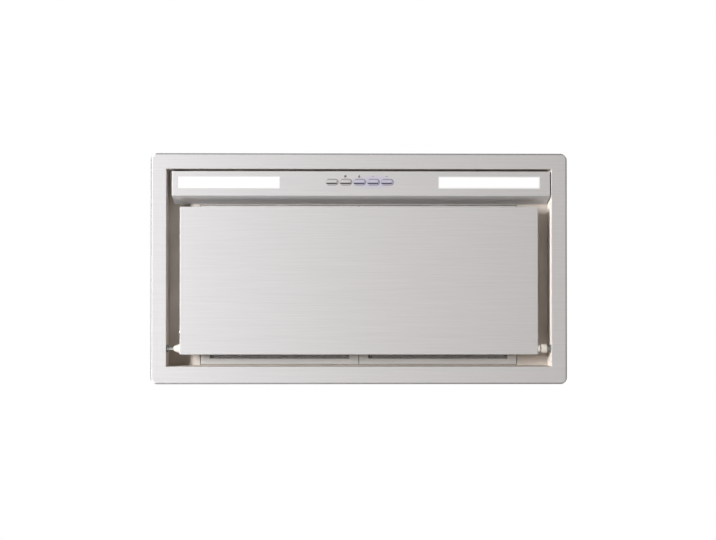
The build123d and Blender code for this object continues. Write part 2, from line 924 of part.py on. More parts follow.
def filter_mesh(side):
    """The pack of metal mesh: diamond openings in its lower skin, and a notch round the latch."""
    side_edge = filter_side_rim - filter_groove_depth + hole_slack
    end_edge = filter_rim - filter_groove_depth + hole_slack
    core_bottom = mesh_bottom + mesh_skin_thickness
    core = filter_block(side, side_edge, end_edge, (core_bottom, mesh_top))
    cell_x = (filter_half_span - filter_seam / 2 - 2 * filter_side_rim) / mesh_cell_count
    cell_y = (filter_rear - filter_front - 2 * filter_rim) / mesh_cell_count
    diamond = Polygon(*diamond_points(cell_x - mesh_cell_web, cell_y - mesh_cell_web), align=None)
    first_x = side * (filter_seam / 2 + filter_side_rim + cell_x / 2)
    first_y = filter_front + filter_rim + cell_y / 2
    cells = []
    for row in range(mesh_cell_count):
        for column in range(mesh_cell_count):
            cells.append(Pos(first_x + side * column * cell_x, first_y + row * cell_y) * diamond)
    inner = side * (filter_seam / 2 + side_edge)
    outer = side * (filter_half_span - side_edge)
    width = abs(outer - inner)
    depth = filter_rear - filter_front - 2 * end_edge
    sheet = Pos((inner + outer) / 2, (filter_front + filter_rear) / 2) * Rectangle(width, depth)
    skin = Pos(0, 0, mesh_bottom) * extrude(sheet - Sketch() - cells, mesh_skin_thickness)
    notch_x = around(filter_middle(side), latch_guide_half_width() + rest_gap)
    notch_y = (filter_front, guide_front + guide_length + rest_gap)
    return core + skin - block(notch_x, notch_y, (ceiling_z, filter_top))


def diamond_points(width, depth):
    return [(-width / 2, 0), (0, -depth / 2), (width / 2, 0), (0, depth / 2)]


def latch_guide_half_width():
    return latch_slider_width / 2 + rest_gap + latch_guide_wall


def latch_guide(side):
    """The housing that the latch slides in, behind the filter's front rim."""
    middle = filter_middle(side)
    rear = guide_front + guide_length
    top = ceiling_z + latch_guide_height
    guide = block(around(middle, latch_guide_half_width()), (guide_front, rear), (ceiling_z, top))
    room_bottom = latch_bottom - hole_slack
    room_x = around(middle, latch_slider_width / 2 + rest_gap)
    room_y = (guide_front + latch_guide_wall, rear - latch_guide_wall)
    guide -= block(room_x, room_y, (room_bottom, latch_bottom + latch_slider_thickness + rest_gap))
    tongue_x = around(middle, latch_tongue_width / 2 + hole_slack)
    guide -= block(tongue_x, (guide_front, room_y[0]), (room_bottom, tongue_top + hole_slack))
    tab_x = around(middle, latch_tab_width / 2 + rest_gap)
    tab_y = (tab_front - rest_gap, tab_rear + latch_travel + rest_gap)
    return guide - block(tab_x, tab_y, (ceiling_z, room_bottom))


def filter_latch(side):
    """A tongue that rests on the tray, its slider, and the tab that a finger pulls."""
    middle = filter_middle(side)
    slider_x = around(middle, latch_slider_width / 2)
    slider_z = (latch_bottom, latch_bottom + latch_slider_thickness)
    slider = block(slider_x, (slider_front, slider_rear), slider_z)
    tongue_x = around(middle, latch_tongue_width / 2)
    tongue_front = filter_front - filter_gap - latch_tongue_reach
    tongue = block(tongue_x, (tongue_front, slider_front), (latch_bottom, tongue_top))
    tab_bottom = ceiling_z - latch_tab_drop
    tab = block(around(middle, latch_tab_width / 2), (tab_front, tab_rear), (tab_bottom, latch_bottom))
    lower_corners = tab.edges().filter_by(Axis.Y).group_by(Axis.Z)[0]
    return slider + tongue + fillet(lower_corners, latch_tab_rounding)


# Casing
def pressed_bead(wall, seat, length):
    """A stiffening bead pressed into a wall, its seat on the wall's outer face."""
    outside = extrude(SlotOverall(length, bead_width), bead_depth)
    inside = extrude(SlotOverall(length - 2 * casing_sheet, bead_width - 2 * casing_sheet), bead_depth)
    wall += seat * Pos(0, 0, -casing_sheet - bead_depth) * outside
    return wall - seat * Pos(0, 0, -bead_depth) * inside


def long_wall(way):
    """The casing's front wall for -1 or rear wall for 1, with flanges at its top and ends."""
    inner = casing_front_y if way < 0 else casing_rear_y
    outer = inner + way * casing_sheet
    flange_bottom = casing_top - casing_sheet
    wall = block((-shell_x, shell_x), (inner, outer), (skin_top, casing_top))
    wall += block((-casing_x, casing_x), (inner, inner - way * casing_flange), (flange_bottom, casing_top))
    for side in SIDES:
        x = (side * (casing_x - casing_sheet), side * casing_x)
        z = (wall_top + corner_flange_margin, flange_bottom)
        wall += block(x, (inner, inner - way * corner_flange), z)
    for level in (lower_bead_height, upper_bead_height):
        seat = Plane(origin=(0, outer, level), x_dir=(1, 0, 0), z_dir=(0, way, 0))
        wall = pressed_bead(wall, seat, wall_bead_length)
    depth = casing_sheet + 2 * frame_sheet
    wall = drill(wall, frame_rivet_seats(), rivet_radius + hole_slack, depth)
    wall = drill(wall, corner_screw_seats(), screw_radius + hole_slack, depth)
    return drill(wall, cover_screw_seats(), screw_radius + hole_slack, depth)


def side_wall(side):
    inset = casing_flange + fold_slack
    flange_x = (side * (casing_x - casing_flange), side * casing_x)
    flange_y = (casing_front_y + inset, casing_rear_y - inset)
    wall = block((side * casing_x, side * shell_x), (casing_front_y, casing_rear_y), (skin_top, casing_top))
    wall += block(flange_x, flange_y, (casing_top - casing_sheet, casing_top))
    seat = Plane(origin=(side * shell_x, 0, upper_bead_height), x_dir=(0, side, 0), z_dir=(side, 0, 0))
    wall = pressed_bead(wall, seat, end_bead_length)
    depth = casing_sheet + 2 * frame_sheet
    wall = drill(wall, cabinet_hole_seats(), cabinet_hole_radius, depth)
    wall = drill(wall, frame_rivet_seats(), rivet_radius + hole_slack, depth)
    wall = drill(wall, corner_screw_seats(), screw_radius + hole_slack, depth)
    wall = drill(wall, clip_rivet_seats(), rivet_radius + hole_slack, depth)
    wall = drill(wall, cover_screw_seats(), screw_radius + hole_slack, depth)
    for bush in bush_seats():
        wall -= rod(bush, bush_spigot_radius + hole_slack, 0, 3 * frame_sheet)
    return wall


def top_cover():
    """The casing's top, with three raised beads and the duct's hole."""
    cover = block((-shell_x, shell_x), (shell_front_y, shell_rear_y), (casing_top, cover_top))
    bead = extrude(SlotOverall(cover_bead_length, bead_width), cover_bead_height)
    bead = fillet(bead.edges().group_by(Axis.Z)[-1], cover_bead_height * head_rounding)
    for x in (-cover_bead_outer, -cover_bead_inner, cover_bead_inner):
        cover += Pos(x, 0, cover_top) * Rot(0, 0, 90) * bead
    cover -= rod(duct_seat(), collar_inner, -casing_height, casing_height)
    depth = casing_sheet + 2 * frame_sheet
    cover = drill(cover, cover_screw_seats(), screw_radius + hole_slack, depth)
    collar_depth = depth + collar_flange_thickness
    cover = drill(cover, collar_screw_seats(), small_screw_radius + hole_slack, collar_depth)
    return drill(cover, blower_screw_seats(), screw_radius + hole_slack, depth)


# Duct collar and dampers
def duct_seat():
    return seat_at(0, duct_y, cover_top, UP)


def spindle_seat():
    return seat_at(0, duct_y, damper_z, (1, 0, 0))


def duct_collar():
    """A tube on a flange, with four stops that the closed flaps rest on."""
    seat = duct_seat()
    top = collar_flange_thickness + collar_height
    tube = rod(seat, collar_radius, 0, top)
    tube = chamfer(tube.edges().group_by(Axis.Z)[-1], collar_edge_chamfer)
    collar = tube + rod(seat, collar_flange_radius, 0, collar_flange_thickness)
    collar -= rod(seat, collar_inner, 0, top)
    stop_top = damper_z - flap_thickness / 2 - rest_gap
    stop_x = (collar_inner - flap_stop_reach, collar_inner + collar_wall / 2)
    stop = block(stop_x, around(0, flap_stop_width / 2), (stop_top - flap_stop_height, stop_top))
    for angle in (45, 135, 225, 315):
        collar += Pos(0, duct_y, 0) * Rot(0, 0, angle) * stop
    collar -= rod(spindle_seat(), spindle_radius + hole_slack, -collar_flange_radius, collar_flange_radius)
    return drill(collar, collar_screw_seats(), small_screw_radius + hole_slack, 2 * collar_flange_thickness)


def damper_spindle():
    reach = collar_radius - rest_gap
    return rod(spindle_seat(), spindle_radius, -reach, reach)


def damper_flap(way):
    """A half disc hinged on the spindle, its knuckles between those of the other flap."""
    radius = collar_inner - flap_edge_gap
    hinge_edge = duct_y + way * flap_hinge_gap
    level = around(damper_z, flap_thickness / 2)
    flap = Pos(0, duct_y, damper_z) * Cylinder(radius, flap_thickness)
    flap &= block((-radius, radius), (hinge_edge, hinge_edge + way * radius), level)
    pitch = knuckle_length + knuckle_gap
    for place in (-1.5 * pitch, 0.5 * pitch):
        start, end = around(-way * place, knuckle_length / 2)
        flap += rod(spindle_seat(), knuckle_radius, start, end)
        flap += block((start, end), (duct_y, hinge_edge), level)
    return flap - rod(spindle_seat(), spindle_radius + running_slack, -radius, radius)


# Blower
def blower_seat():
    return seat_at(0, blower_y, blower_z, (1, 0, 0))


def scroll_section(inset):
    """The scroll seen along X: three growing arcs and the neck, drawn in by the inset."""
    step = volute_step / 2
    first = impeller_radius + cutoff_gap + step - inset
    second = first + volute_step
    third = second + volute_step
    mouth_top = casing_top - scroll_sheet - blower_z
    diagonal = math.sqrt(0.5)
    start = (-step, first - step)
    left = (-step - first, -step)
    bottom = (step, -step - second)
    right = (step + third, step)
    neck_y = inset - step
    edges = [
        ThreePointArc(start, (-step - first * diagonal, first * diagonal - step), left),
        ThreePointArc(left, (step - second * diagonal, -step - second * diagonal), bottom),
        ThreePointArc(bottom, (step + third * diagonal, step - third * diagonal), right),
        Line(right, (right[0], mouth_top)),
        Line((right[0], mouth_top), (neck_y, mouth_top)),
        Line((neck_y, mouth_top), (neck_y, start[1])),
    ]
    if inset:
        edges.append(Line((neck_y, start[1]), start))
    return Plane.YZ * Pos(blower_y, blower_z) * make_face(Wire(edges))


def scroll_slab(inset, start, end):
    return Pos(start, 0, 0) * extrude(scroll_section(inset), end - start)


def scroll_band():
    """The sheet wound round the impeller, with a flange round its mouth."""
    band = scroll_slab(0, -scroll_x, scroll_x) - scroll_slab(scroll_sheet, -scroll_x, scroll_x)
    front = blower_y + mouth_front
    rear = blower_y + mouth_rear
    reach = inlet_x + neck_flange
    level = (casing_top - scroll_sheet, casing_top)
    flange = block((-reach, reach), (front - neck_flange, rear + neck_flange), level)
    flange -= block((-scroll_x, scroll_x), (front + scroll_sheet, rear - scroll_sheet), level)
    depth = casing_sheet + 2 * scroll_sheet
    return drill(band + flange, blower_screw_seats(), screw_radius + hole_slack, depth)


def scroll_side(side):
    start, end = sorted((side * scroll_x, side * inlet_x))
    hole = inlet_radius + inlet_sheet + hole_slack
    return scroll_slab(0, start, end) - rod(blower_seat(), hole, -2 * scroll_x, 2 * scroll_x)


def inlet_ring(side):
    """The inlet's mouth: a flange on the scroll's side and a short tube towards the impeller."""
    seat = seat_at(0, blower_y, blower_z, (side, 0, 0))
    start = inlet_x - inlet_reach
    ring = rod(seat, inlet_radius + inlet_sheet, start, mount_start_x)
    ring += rod(seat, inlet_flange_radius, inlet_x, mount_start_x)
    return ring - rod(seat, inlet_radius, start, mount_start_x)


def impeller():
    """Forward-curved blades between two end rings, on a disc and a hub in the middle."""
    middle_radius = (blade_inner_radius + impeller_radius) / 2
    half = blade_thickness / 2
    inner_end = (blade_inner_radius + half, 0)
    outer_end = (impeller_radius - half, -blade_bow)
    blade = trace(ThreePointArc(inner_end, (middle_radius, blade_bow), outer_end), blade_thickness)
    blade = Pos(0, 0, -impeller_length / 2) * extrude(blade, impeller_length)
    pieces = [Rot(0, 0, index * 360.0 / blade_count) * blade for index in range(blade_count)]
    ring = Circle(impeller_radius) - Circle(impeller_radius - impeller_ring_width)
    for bottom in (-impeller_length / 2, impeller_length / 2 - impeller_ring_width):
        pieces.append(Pos(0, 0, bottom) * extrude(ring, impeller_ring_width))
    disc = Cylinder(middle_radius + blade_bow, impeller_disc_thickness) + Cylinder(hub_radius, hub_length)
    wheel = disc.fuse(*pieces) - Cylinder(motor_shaft_radius + hole_slack, 2 * hub_length)
    return blower_seat() * wheel


def motor_shaft():
    inner_end = -motor_front - motor_shaft_depth + rest_gap
    return rod(blower_seat(), motor_shaft_radius, inner_end, hub_length / 2 + rest_gap)


def motor():
    """The motor's can, inside the impeller's left half."""
    seat = blower_seat()
    can = rod(seat, motor_radius, -motor_back, -motor_front)
    can = fillet(can.edges().filter_by(GeomType.CIRCLE), motor_edge_rounding)
    bore = motor_shaft_radius + running_slack
    return can - rod(seat, bore, -motor_front - motor_shaft_depth, -motor_front)


def bracket_turns():
    """The turns of the bracket's arms about the motor's axis."""
    return [90.0 + index * 360.0 / bracket_arm_count for index in range(bracket_arm_count)]


def motor_bracket():
    seat = blower_seat()
    back = -motor_back - bracket_thickness
    reach = motor_mount_circle + motor_mount_radius
    bracket = rod(seat, bracket_disc_radius, back, -motor_back)
    arm = block((0, reach), around(0, bracket_arm_width / 2), (back, -motor_back))
    for turn in bracket_turns():
        bracket += seat * Rot(0, 0, turn) * arm
    return bracket


def motor_mounts():
    """Rubber mounts between the inlet ring and the bracket's arms."""
    middle = -(mount_start_x + motor_back) / 2
    mount = Pos(motor_mount_circle, 0, middle) * Cylinder(motor_mount_radius, motor_mount_length)
    return [blower_seat() * Rot(0, 0, turn) * mount for turn in bracket_turns()]


# Electrical box and what it holds
def box_shape(inset, z):
    x = (box_left + inset, box_left + box_length - inset)
    y = (box_front + inset, box_front + box_depth - inset)
    return rounded_block(x, y, z, max(box_corner_radius - inset, box_inner_corner))


def electrical_box():
    top = cover_top + box_height
    box = box_shape(0, (cover_top, top)) - box_shape(box_wall, (box_floor, top))
    room = box_shape(box_wall / 2, (cover_top, top))
    for seat in lid_screw_seats():
        box += rod(seat, lid_post_radius, -box_height, -box_wall - lid_lip) & room
        box -= rod(seat, small_screw_radius, -box_height / 2, 0)
    return box - rod(gland_seat(), gland_thread_radius + hole_slack, -2 * box_wall, box_wall)


def electrical_lid():
    bottom = cover_top + box_height
    lip_bottom = bottom - lid_lip + rest_gap
    lid = box_shape(0, (bottom, bottom + box_wall))
    lid = fillet(lid.edges().group_by(Axis.Z)[-1], box_wall * lid_rounding_share)
    lip = box_shape(box_wall + fold_slack, (lip_bottom, bottom))
    lip -= box_shape(2 * box_wall + fold_slack, (lip_bottom, bottom))
    return drill(lid + lip, lid_screw_seats(), small_screw_radius + hole_slack, 2 * box_wall + lid_lip)


def control_board():
    """The circuit board on its standoffs, with a transformer, two relays and a coil."""
    left = box_left + box_wall + 2 * board_side_gap
    front = box_front + box_wall + 2 * lid_post_radius + board_side_gap
    rear = box_front + box_depth - (front - box_front)
    right = left + board_length
    bottom = box_floor + board_standoff
    top = bottom + board_thickness
    board = block((left, right), (front, rear), (bottom, top))
    for x in (left + standoff_inset, right - standoff_inset):
        for y in (front + standoff_inset, rear - standoff_inset):
            board += rod(seat_at(x, y, box_floor, UP), standoff_radius, 0, board_standoff)
    part_x = left + standoff_inset
    part_y = front + box_part_gap
    pieces = [board, standing_part((part_x, part_y), transformer_size, top)]
    relay_x = right - relay_size[0] - board_side_gap
    for index in range(relay_count):
        relay_y = part_y + index * (relay_size[1] + box_part_gap)
        pieces.append(standing_part((relay_x, relay_y), relay_size, top))
    coil_seat = seat_at(left + 2 * coil_radius, rear - 2 * coil_radius, top, UP)
    pieces.append(rod(coil_seat, coil_radius, 0, coil_height))
    return pieces


def standing_part(corner, size, level):
    """A block-shaped part on a board, from its front left corner."""
    x, y = corner
    return block((x, x + size[0]), (y, y + size[1]), (level, level + size[2]))


def run_capacitor():
    """The motor's capacitor, lying in a saddle on the box's floor."""
    x = box_left + box_length - box_wall - capacitor_radius - box_part_gap
    y = box_front + box_depth - box_wall - box_part_gap - lid_post_radius
    seat = seat_at(x, y, box_floor + capacitor_radius, (0, -1, 0))
    can = rod(seat, capacitor_radius, 0, capacitor_length)
    can = fillet(can.edges().filter_by(GeomType.CIRCLE), capacitor_rounding)
    saddle_x = around(x, capacitor_radius / 2)
    saddle_y = (y - capacitor_length + box_part_gap, y - box_part_gap)
    return can + block(saddle_x, saddle_y, (box_floor, box_floor + capacitor_radius / 2))


def terminal_block():
    """Three screw terminals beside the gland."""
    length, depth, height = terminal_size
    x = box_left + box_length - box_wall - box_part_gap - length
    y = box_front + box_wall + gland_inner_length + box_part_gap
    body = block((x, x + length), (y, y + depth), (box_floor, box_floor + height))
    pitch = length / terminal_count
    for index in range(terminal_count):
        seat = seat_at(x + (index + 0.5) * pitch, y + depth / 2, box_floor + height, UP)
        body -= rod(seat, terminal_hole_radius, -height / 2, 0)
    return body


def gland_seat():
    x = box_left + box_length - gland_from_right
    return seat_at(x, box_front, cover_top + gland_above_cover, (0, -1, 0))


def cable_gland():
    """A hexagon flange, a domed nut, and a thread and lock nut inside the box, bored for the cable."""
    seat = gland_seat()
    end = gland_flange_thickness + gland_body_length
    inner_end = -box_wall - gland_inner_length
    flange = seat * extrude(RegularPolygon(gland_flange_radius, 6), gland_flange_thickness)
    nut = rod(seat, gland_body_radius, gland_flange_thickness, end)
    nut = fillet(far_edge(nut, seat), (gland_body_radius - gland_bore_radius) * gland_dome_share)
    lock_nut = extrude(RegularPolygon(gland_flange_radius, 6), -lock_nut_thickness)
    lock_nut = seat * Pos(0, 0, -box_wall) * lock_nut
    gland = flange + nut + lock_nut + rod(seat, gland_thread_radius, inner_end, 0)
    return gland - rod(seat, gland_bore_radius, inner_end, end)


def light_driver():
    """The power supply of the lights, on the tray above the bar."""
    length, depth, height = driver_size
    front = open_front + fold_slack + frame_sheet + rivet_tail + rivet_tail_radius
    driver = block(around(driver_x, length / 2), (front, front + depth), (tray_top, tray_top + height))
    return fillet(driver.edges().filter_by(Axis.Z), driver_corner_radius)


# Side clips
def fixing_clip(side, y):
    """A leaf spring that bulges out to rest on the cabinet's bottom board."""
    wall = shell_x + clip_thickness / 2
    points = [
        (wall, clip_top),
        (wall, clip_top - clip_anchor),
        (wall + clip_bulge, clip_bulge_height),
        (wall + clip_foot_out, clip_foot_height),
    ]
    path = FilletPolyline(*points, radius=clip_bend_radius)
    strip = Plane.XZ * trace(path, clip_thickness)
    clip = Pos(0, y, 0) * extrude(strip, clip_width / 2, both=True)
    if side == LEFT:
        clip = mirror(clip, Plane.YZ)
    return drill(clip, clip_rivet_seats(), rivet_radius + hole_slack, clip_thickness + casing_sheet)


def pair(make):
    """A piece and its twin on the other side, each a list of solids or a single one."""
    pieces = []
    for side in SIDES:
        made = make(side)
        pieces += made if isinstance(made, list) else [made]
    return pieces


def save_frame_and_bar():
    save("face_frame", face_frame())
    save("cabinet_seal", cabinet_seal())
    save("filter_tray", filter_tray())
    save("filter_rail", filter_rail())
    save("control_bar", control_bar())
    save("light_diffuser_left", light_diffuser(LEFT))
    save("light_diffuser_right", light_diffuser(RIGHT))
    save("lamp_housings", *pair(lamp_housing))
    save("light_boards", *pair(light_board))
    save("light_driver", light_driver())
    save("keypad_housing", keypad_housing())
    save("keypad_board", *keypad_board())
    save("key_switches", *key_switches())
    for index, x in enumerate(button_places(), start=1):
        save(f"button_{index}", push_button(x))


def save_panel():
    save("suction_panel", suction_panel())
    save("panel_inner_plate", panel_inner_plate())
    save("panel_screws", *[small_screw(seat, 4 * frame_sheet) for seat in panel_screw_seats()])
    left_seat, right_seat = knob_seats()
    save("pivot_knobs", pivot_cone(left_seat), pivot_knob(right_seat))
    save("pivot_pins", *[pivot_pin(seat) for seat in knob_seats()])
    save("pivot_bushes", *[pivot_bush(seat) for seat in bush_seats()])
    save("catch_posts", *pair(catch_post))
    save("catch_magnets", *pair(catch_magnet))


def save_filters():
    for side, name in zip(SIDES, ("left", "right")):
        save(f"filter_frame_{name}", filter_frame(side))
        save(f"filter_mesh_{name}", filter_mesh(side))
        save(f"filter_latch_{name}", filter_latch(side))
    save("latch_guides", *pair(latch_guide))


def save_casing():
    save("casing_left", side_wall(LEFT))
    save("casing_right", side_wall(RIGHT))
    save("casing_front", long_wall(-1))
    save("casing_rear", long_wall(1))
    save("top_cover", top_cover())
    save("duct_collar", duct_collar())
    save("damper_spindle", damper_spindle())
    save("damper_flap_front", damper_flap(-1))
    save("damper_flap_rear", damper_flap(1))
    save("fixing_clips", *[fixing_clip(side, y) for side in SIDES for y in around(0, clip_spacing / 2)])


def save_blower():
    save("scroll_band", scroll_band())
    save("scroll_sides", *pair(scroll_side))
    save("inlet_rings", *pair(inlet_ring))
    save("impeller", impeller())
    save("motor_shaft", motor_shaft())
    save("motor", motor())
    save("motor_bracket", motor_bracket())
    save("motor_mounts", *motor_mounts())


def save_electrics():
    save("electrical_box", electrical_box())
    save("electrical_lid", electrical_lid())
    save("control_board", *control_board())
    save("run_capacitor", run_capacitor())
    save("terminal_block", terminal_block())
    save("cable_gland", cable_gland())


def save_fasteners():
    frame_grip = casing_sheet + 2 * frame_sheet + fold_slack
    frame_rivets = [rivet(seat, frame_grip) for seat in frame_rivet_seats()]
    clip_rivets = [rivet(seat, clip_thickness + casing_sheet) for seat in clip_rivet_seats()]
    save("rivets", *frame_rivets, *clip_rivets)
    casing_seats = corner_screw_seats() + cover_screw_seats() + blower_screw_seats()
    save("casing_screws", *[casing_screw(seat, 2 * casing_sheet + screw_tip) for seat in casing_seats])
    tray_seats = bar_screw_seats() + catch_screw_seats()
    tray_screws = [small_screw(seat, 2 * frame_sheet + screw_tip) for seat in tray_seats]
    collar_grip = collar_flange_thickness + casing_sheet
    collar_screws = [small_screw(seat, collar_grip + screw_tip) for seat in collar_screw_seats()]
    lid_screws = [small_screw(seat, box_wall + lid_lip + screw_tip) for seat in lid_screw_seats()]
    save("small_screws", *tray_screws, *collar_screws, *lid_screws)


save_frame_and_bar()
save_panel()
save_filters()
save_casing()
save_blower()
save_electrics()
save_fasteners()
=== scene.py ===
import json
import math

import bmesh
import bpy
from mathutils import Matrix, Vector


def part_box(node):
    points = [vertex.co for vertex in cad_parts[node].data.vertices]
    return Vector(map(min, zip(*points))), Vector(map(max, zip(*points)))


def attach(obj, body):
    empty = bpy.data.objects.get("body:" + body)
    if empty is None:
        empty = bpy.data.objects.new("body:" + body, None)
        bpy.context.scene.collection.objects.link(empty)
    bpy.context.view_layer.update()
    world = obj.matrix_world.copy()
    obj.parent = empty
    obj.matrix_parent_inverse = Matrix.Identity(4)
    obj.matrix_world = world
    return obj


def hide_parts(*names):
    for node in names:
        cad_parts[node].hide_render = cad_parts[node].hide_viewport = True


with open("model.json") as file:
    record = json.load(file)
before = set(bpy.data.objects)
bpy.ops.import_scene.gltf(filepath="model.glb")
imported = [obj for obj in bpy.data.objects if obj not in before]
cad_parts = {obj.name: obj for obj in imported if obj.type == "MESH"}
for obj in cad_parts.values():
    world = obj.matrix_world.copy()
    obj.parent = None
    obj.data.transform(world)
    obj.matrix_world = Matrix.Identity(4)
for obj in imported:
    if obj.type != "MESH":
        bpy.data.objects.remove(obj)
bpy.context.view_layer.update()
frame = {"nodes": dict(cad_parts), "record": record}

# Built-in range hood, seen from below as it hangs in its cabinet. Metres, +Z up, -Y towards the
# user. Sizes that the CAD nodes hold are read from them; the rest is given in millimetres here.

MM = 0.001
FRAME_SHEET = 1.0 * MM
EDGE_ROLL = 3.4 * MM
nodes = frame["nodes"]


# Materials
def linear(code):
    """An sRGB hex colour as linear RGBA."""
    parts = [int(code[i:i + 2], 16) / 255 for i in (1, 3, 5)]
    return [p / 12.92 if p <= 0.04045 else ((p + 0.055) / 1.055) ** 2.4 for p in parts] + [1.0]


def add(tree, kind, settings):
    """Add a node. A setting is one of its properties, or an input by name or number, and an
    output given to an input is linked to it."""
    made = tree.nodes.new(kind)
    for name, value in settings.items():
        if isinstance(name, str) and hasattr(made, name):
            setattr(made, name, value)
        elif isinstance(value, bpy.types.NodeSocket):
            tree.links.new(value, made.inputs[name])
        else:
            made.inputs[name].default_value = value
    return made


def new_material(name):
    """An empty material, and the place in the object where it is looked up."""
    material = bpy.data.materials.new(name)
    material.use_nodes = True
    tree = material.node_tree
    tree.nodes.clear()
    place = add(tree, "ShaderNodeTexCoord", {}).outputs["Object"]
    return material, tree, place


def finish_material(tree, settings):
    """Close a material with its shader and its output."""
    shader = add(tree, "ShaderNodeBsdfPrincipled", settings)
    add(tree, "ShaderNodeOutputMaterial", {"Surface": shader.outputs["BSDF"]})


# The range that most of a noise lies in
MIDDLE = {"From Min": 0.3, "From Max": 0.7}

ALONG_X, ALONG_Y, ALONG_Z = 0, 1, 2
HAIR_SPACING, HAIR_LENGTH = 1.4, 90
STEEL_METAL = 0.5
STEEL_ROUGHNESS = 0.65
STEEL_GRAIN = 0.8
LIGHT_STEEL, DARK_STEEL = "#D8D7D8", "#D2D1D2"
# The flange's rolled edge: a dark colour that is painted shade
ROLLED_STEEL = "#6E6D6E"
MILL_METAL = 0.4
MILL_ROUGHNESS = 0.7
MILL_GRAIN = 0.8
LIGHT_MILL, DARK_MILL = "#DDD5CD", "#D5CDC5"

# A quarter turn, so that the sheen spreads across the grain
ACROSS_GRAIN = 0.25


def streaks(tree, place, spacing, length, direction, seed):
    """Noise drawn out along one axis, as a belt or a roll leaves it. Sizes are in millimetres."""
    scales = [1 / (spacing * MM)] * 3
    scales[direction] = 1 / (length * MM)
    moved = add(tree, "ShaderNodeMapping", {
        "vector_type": "POINT", "Vector": place, "Location": (seed, 2 * seed, 3 * seed),
        "Scale": scales})
    return add(tree, "ShaderNodeTexNoise", {
        "Vector": moved.outputs["Vector"], "Scale": 1.0, "Detail": 3.0, "Roughness": 0.6,
    }).outputs["Fac"]


def two_tones(tree, pattern, light, dark):
    """A noise as a colour that drifts from light to dark."""
    share = add(tree, "ShaderNodeMapRange", {"Value": pattern, **MIDDLE}).outputs["Result"]
    return add(tree, "ShaderNodeMix", {
        "data_type": "RGBA", "Factor": share, 6: linear(light), 7: linear(dark)}).outputs[2]


def satin_sheet(name, direction, light, dark, roughness):
    """Sheet with fine lines along it: stainless steel ground with a fine belt, or aluminium as
    its rolls leave it. The real lines are about 0.1 mm apart, too fine for the picture, so they
    are drawn 1.4 mm apart and about 90 mm long. They give the eye a soft sheen that runs along
    the sheet, with faint lighter and darker hairs."""
    material, tree, place = new_material(name)
    hairs = streaks(tree, place, HAIR_SPACING, HAIR_LENGTH, direction, 3.0)
    clouds = add(tree, "ShaderNodeTexNoise", {
        "Vector": place, "Scale": 1 / (130 * MM), "Detail": 2.0, "Roughness": 0.5}).outputs["Fac"]
    hair_sheen = add(tree, "ShaderNodeMapRange", {
        "Value": hairs, **MIDDLE, "To Min": -0.03, "To Max": 0.03}).outputs["Result"]
    cloud_sheen = add(tree, "ShaderNodeMapRange", {
        "Value": clouds, **MIDDLE, "To Min": -0.02, "To Max": 0.02}).outputs["Result"]
    sheen = add(tree, "ShaderNodeMath", {
        "operation": "ADD", 0: hair_sheen, 1: cloud_sheen}).outputs[0]
    finish_material(tree, {
        "Base Color": two_tones(tree, hairs, light, dark), "Metallic": STEEL_METAL,
        "Roughness": add(tree, "ShaderNodeMath", {
            "operation": "ADD", 0: sheen, 1: roughness}).outputs[0],
        "Anisotropic": STEEL_GRAIN, "Anisotropic Rotation": ACROSS_GRAIN,
        "Tangent": add(tree, "ShaderNodeCombineXYZ", {direction: 1.0}).outputs[0],
        "Normal": add(tree, "ShaderNodeBump", {
            "Height": hairs, "Distance": 0.01 * MM, "Strength": 0.2}).outputs["Normal"]})
    return material


def lit_stainless(name, tint, around, reach):
    """The bar's satin stainless with a painted glow: its colour turns a faint blue round the lit
    buttons, standing in for their light on the steel round them.
    The reach is the half size in millimetres of the area that it fades over."""
    material = satin_sheet(name, ALONG_X, LIGHT_STEEL, DARK_STEEL, STEEL_ROUGHNESS)
    tree = material.node_tree
    shader = tree.nodes["Principled BSDF"]
    place = tree.nodes["Texture Coordinate"].outputs["Object"]
    moved = add(tree, "ShaderNodeMapping", {
        "vector_type": "TEXTURE", "Vector": place, "Location": around,
        "Scale": [size * MM for size in reach]})
    distance = add(tree, "ShaderNodeVectorMath", {
        "operation": "LENGTH", 0: moved.outputs[0]}).outputs["Value"]
    nearness = add(tree, "ShaderNodeMapRange", {
        "Value": distance, "From Min": 0.5, "From Max": 1.0, "To Min": 1, "To Max": 0})
    steel = shader.inputs["Base Color"].links[0].from_socket
    # Painted glow: the steel's colour is blended towards a faint blue near the lit buttons.
    tinted = add(tree, "ShaderNodeMix", {
        "data_type": "RGBA", "Factor": nearness.outputs["Result"], 6: steel, 7: linear(tint)})
    tree.links.new(tinted.outputs[2], shader.inputs["Base Color"])
    return material


def mill_stainless(name):
    """Stainless steel as it leaves the mill, cold-rolled and pickled, inside the recess where no
    belt reaches: paler and more matt than the ground face, with a faint cloudiness."""
    material, tree, place = new_material(name)
    clouds = add(tree, "ShaderNodeTexNoise", {
        "Vector": place, "Scale": 1 / (35 * MM), "Detail": 3.0, "Roughness": 0.5}).outputs["Fac"]
    pickled = add(tree, "ShaderNodeTexNoise", {
        "Vector": place, "Scale": 1 / (2.0 * MM), "Detail": 2.0, "Roughness": 0.5}).outputs["Fac"]
    finish_material(tree, {
        "Base Color": two_tones(tree, clouds, LIGHT_MILL, DARK_MILL),
        "Metallic": MILL_METAL,
        "Roughness": add(tree, "ShaderNodeMapRange", {
            "Value": clouds, **MIDDLE, "To Min": MILL_ROUGHNESS - 0.05,
            "To Max": MILL_ROUGHNESS + 0.05}).outputs["Result"],
        "Anisotropic": MILL_GRAIN, "Anisotropic Rotation": ACROSS_GRAIN,
        "Tangent": add(tree, "ShaderNodeCombineXYZ", {ALONG_X: 1.0}).outputs[0],
        "Normal": add(tree, "ShaderNodeBump", {
            "Height": pickled, "Distance": 0.01 * MM, "Strength": 0.2}).outputs["Normal"]})
    return material


# How far in from the flange's edge the recess's walls begin, at the least
FLANGE_BAND = 10 * MM


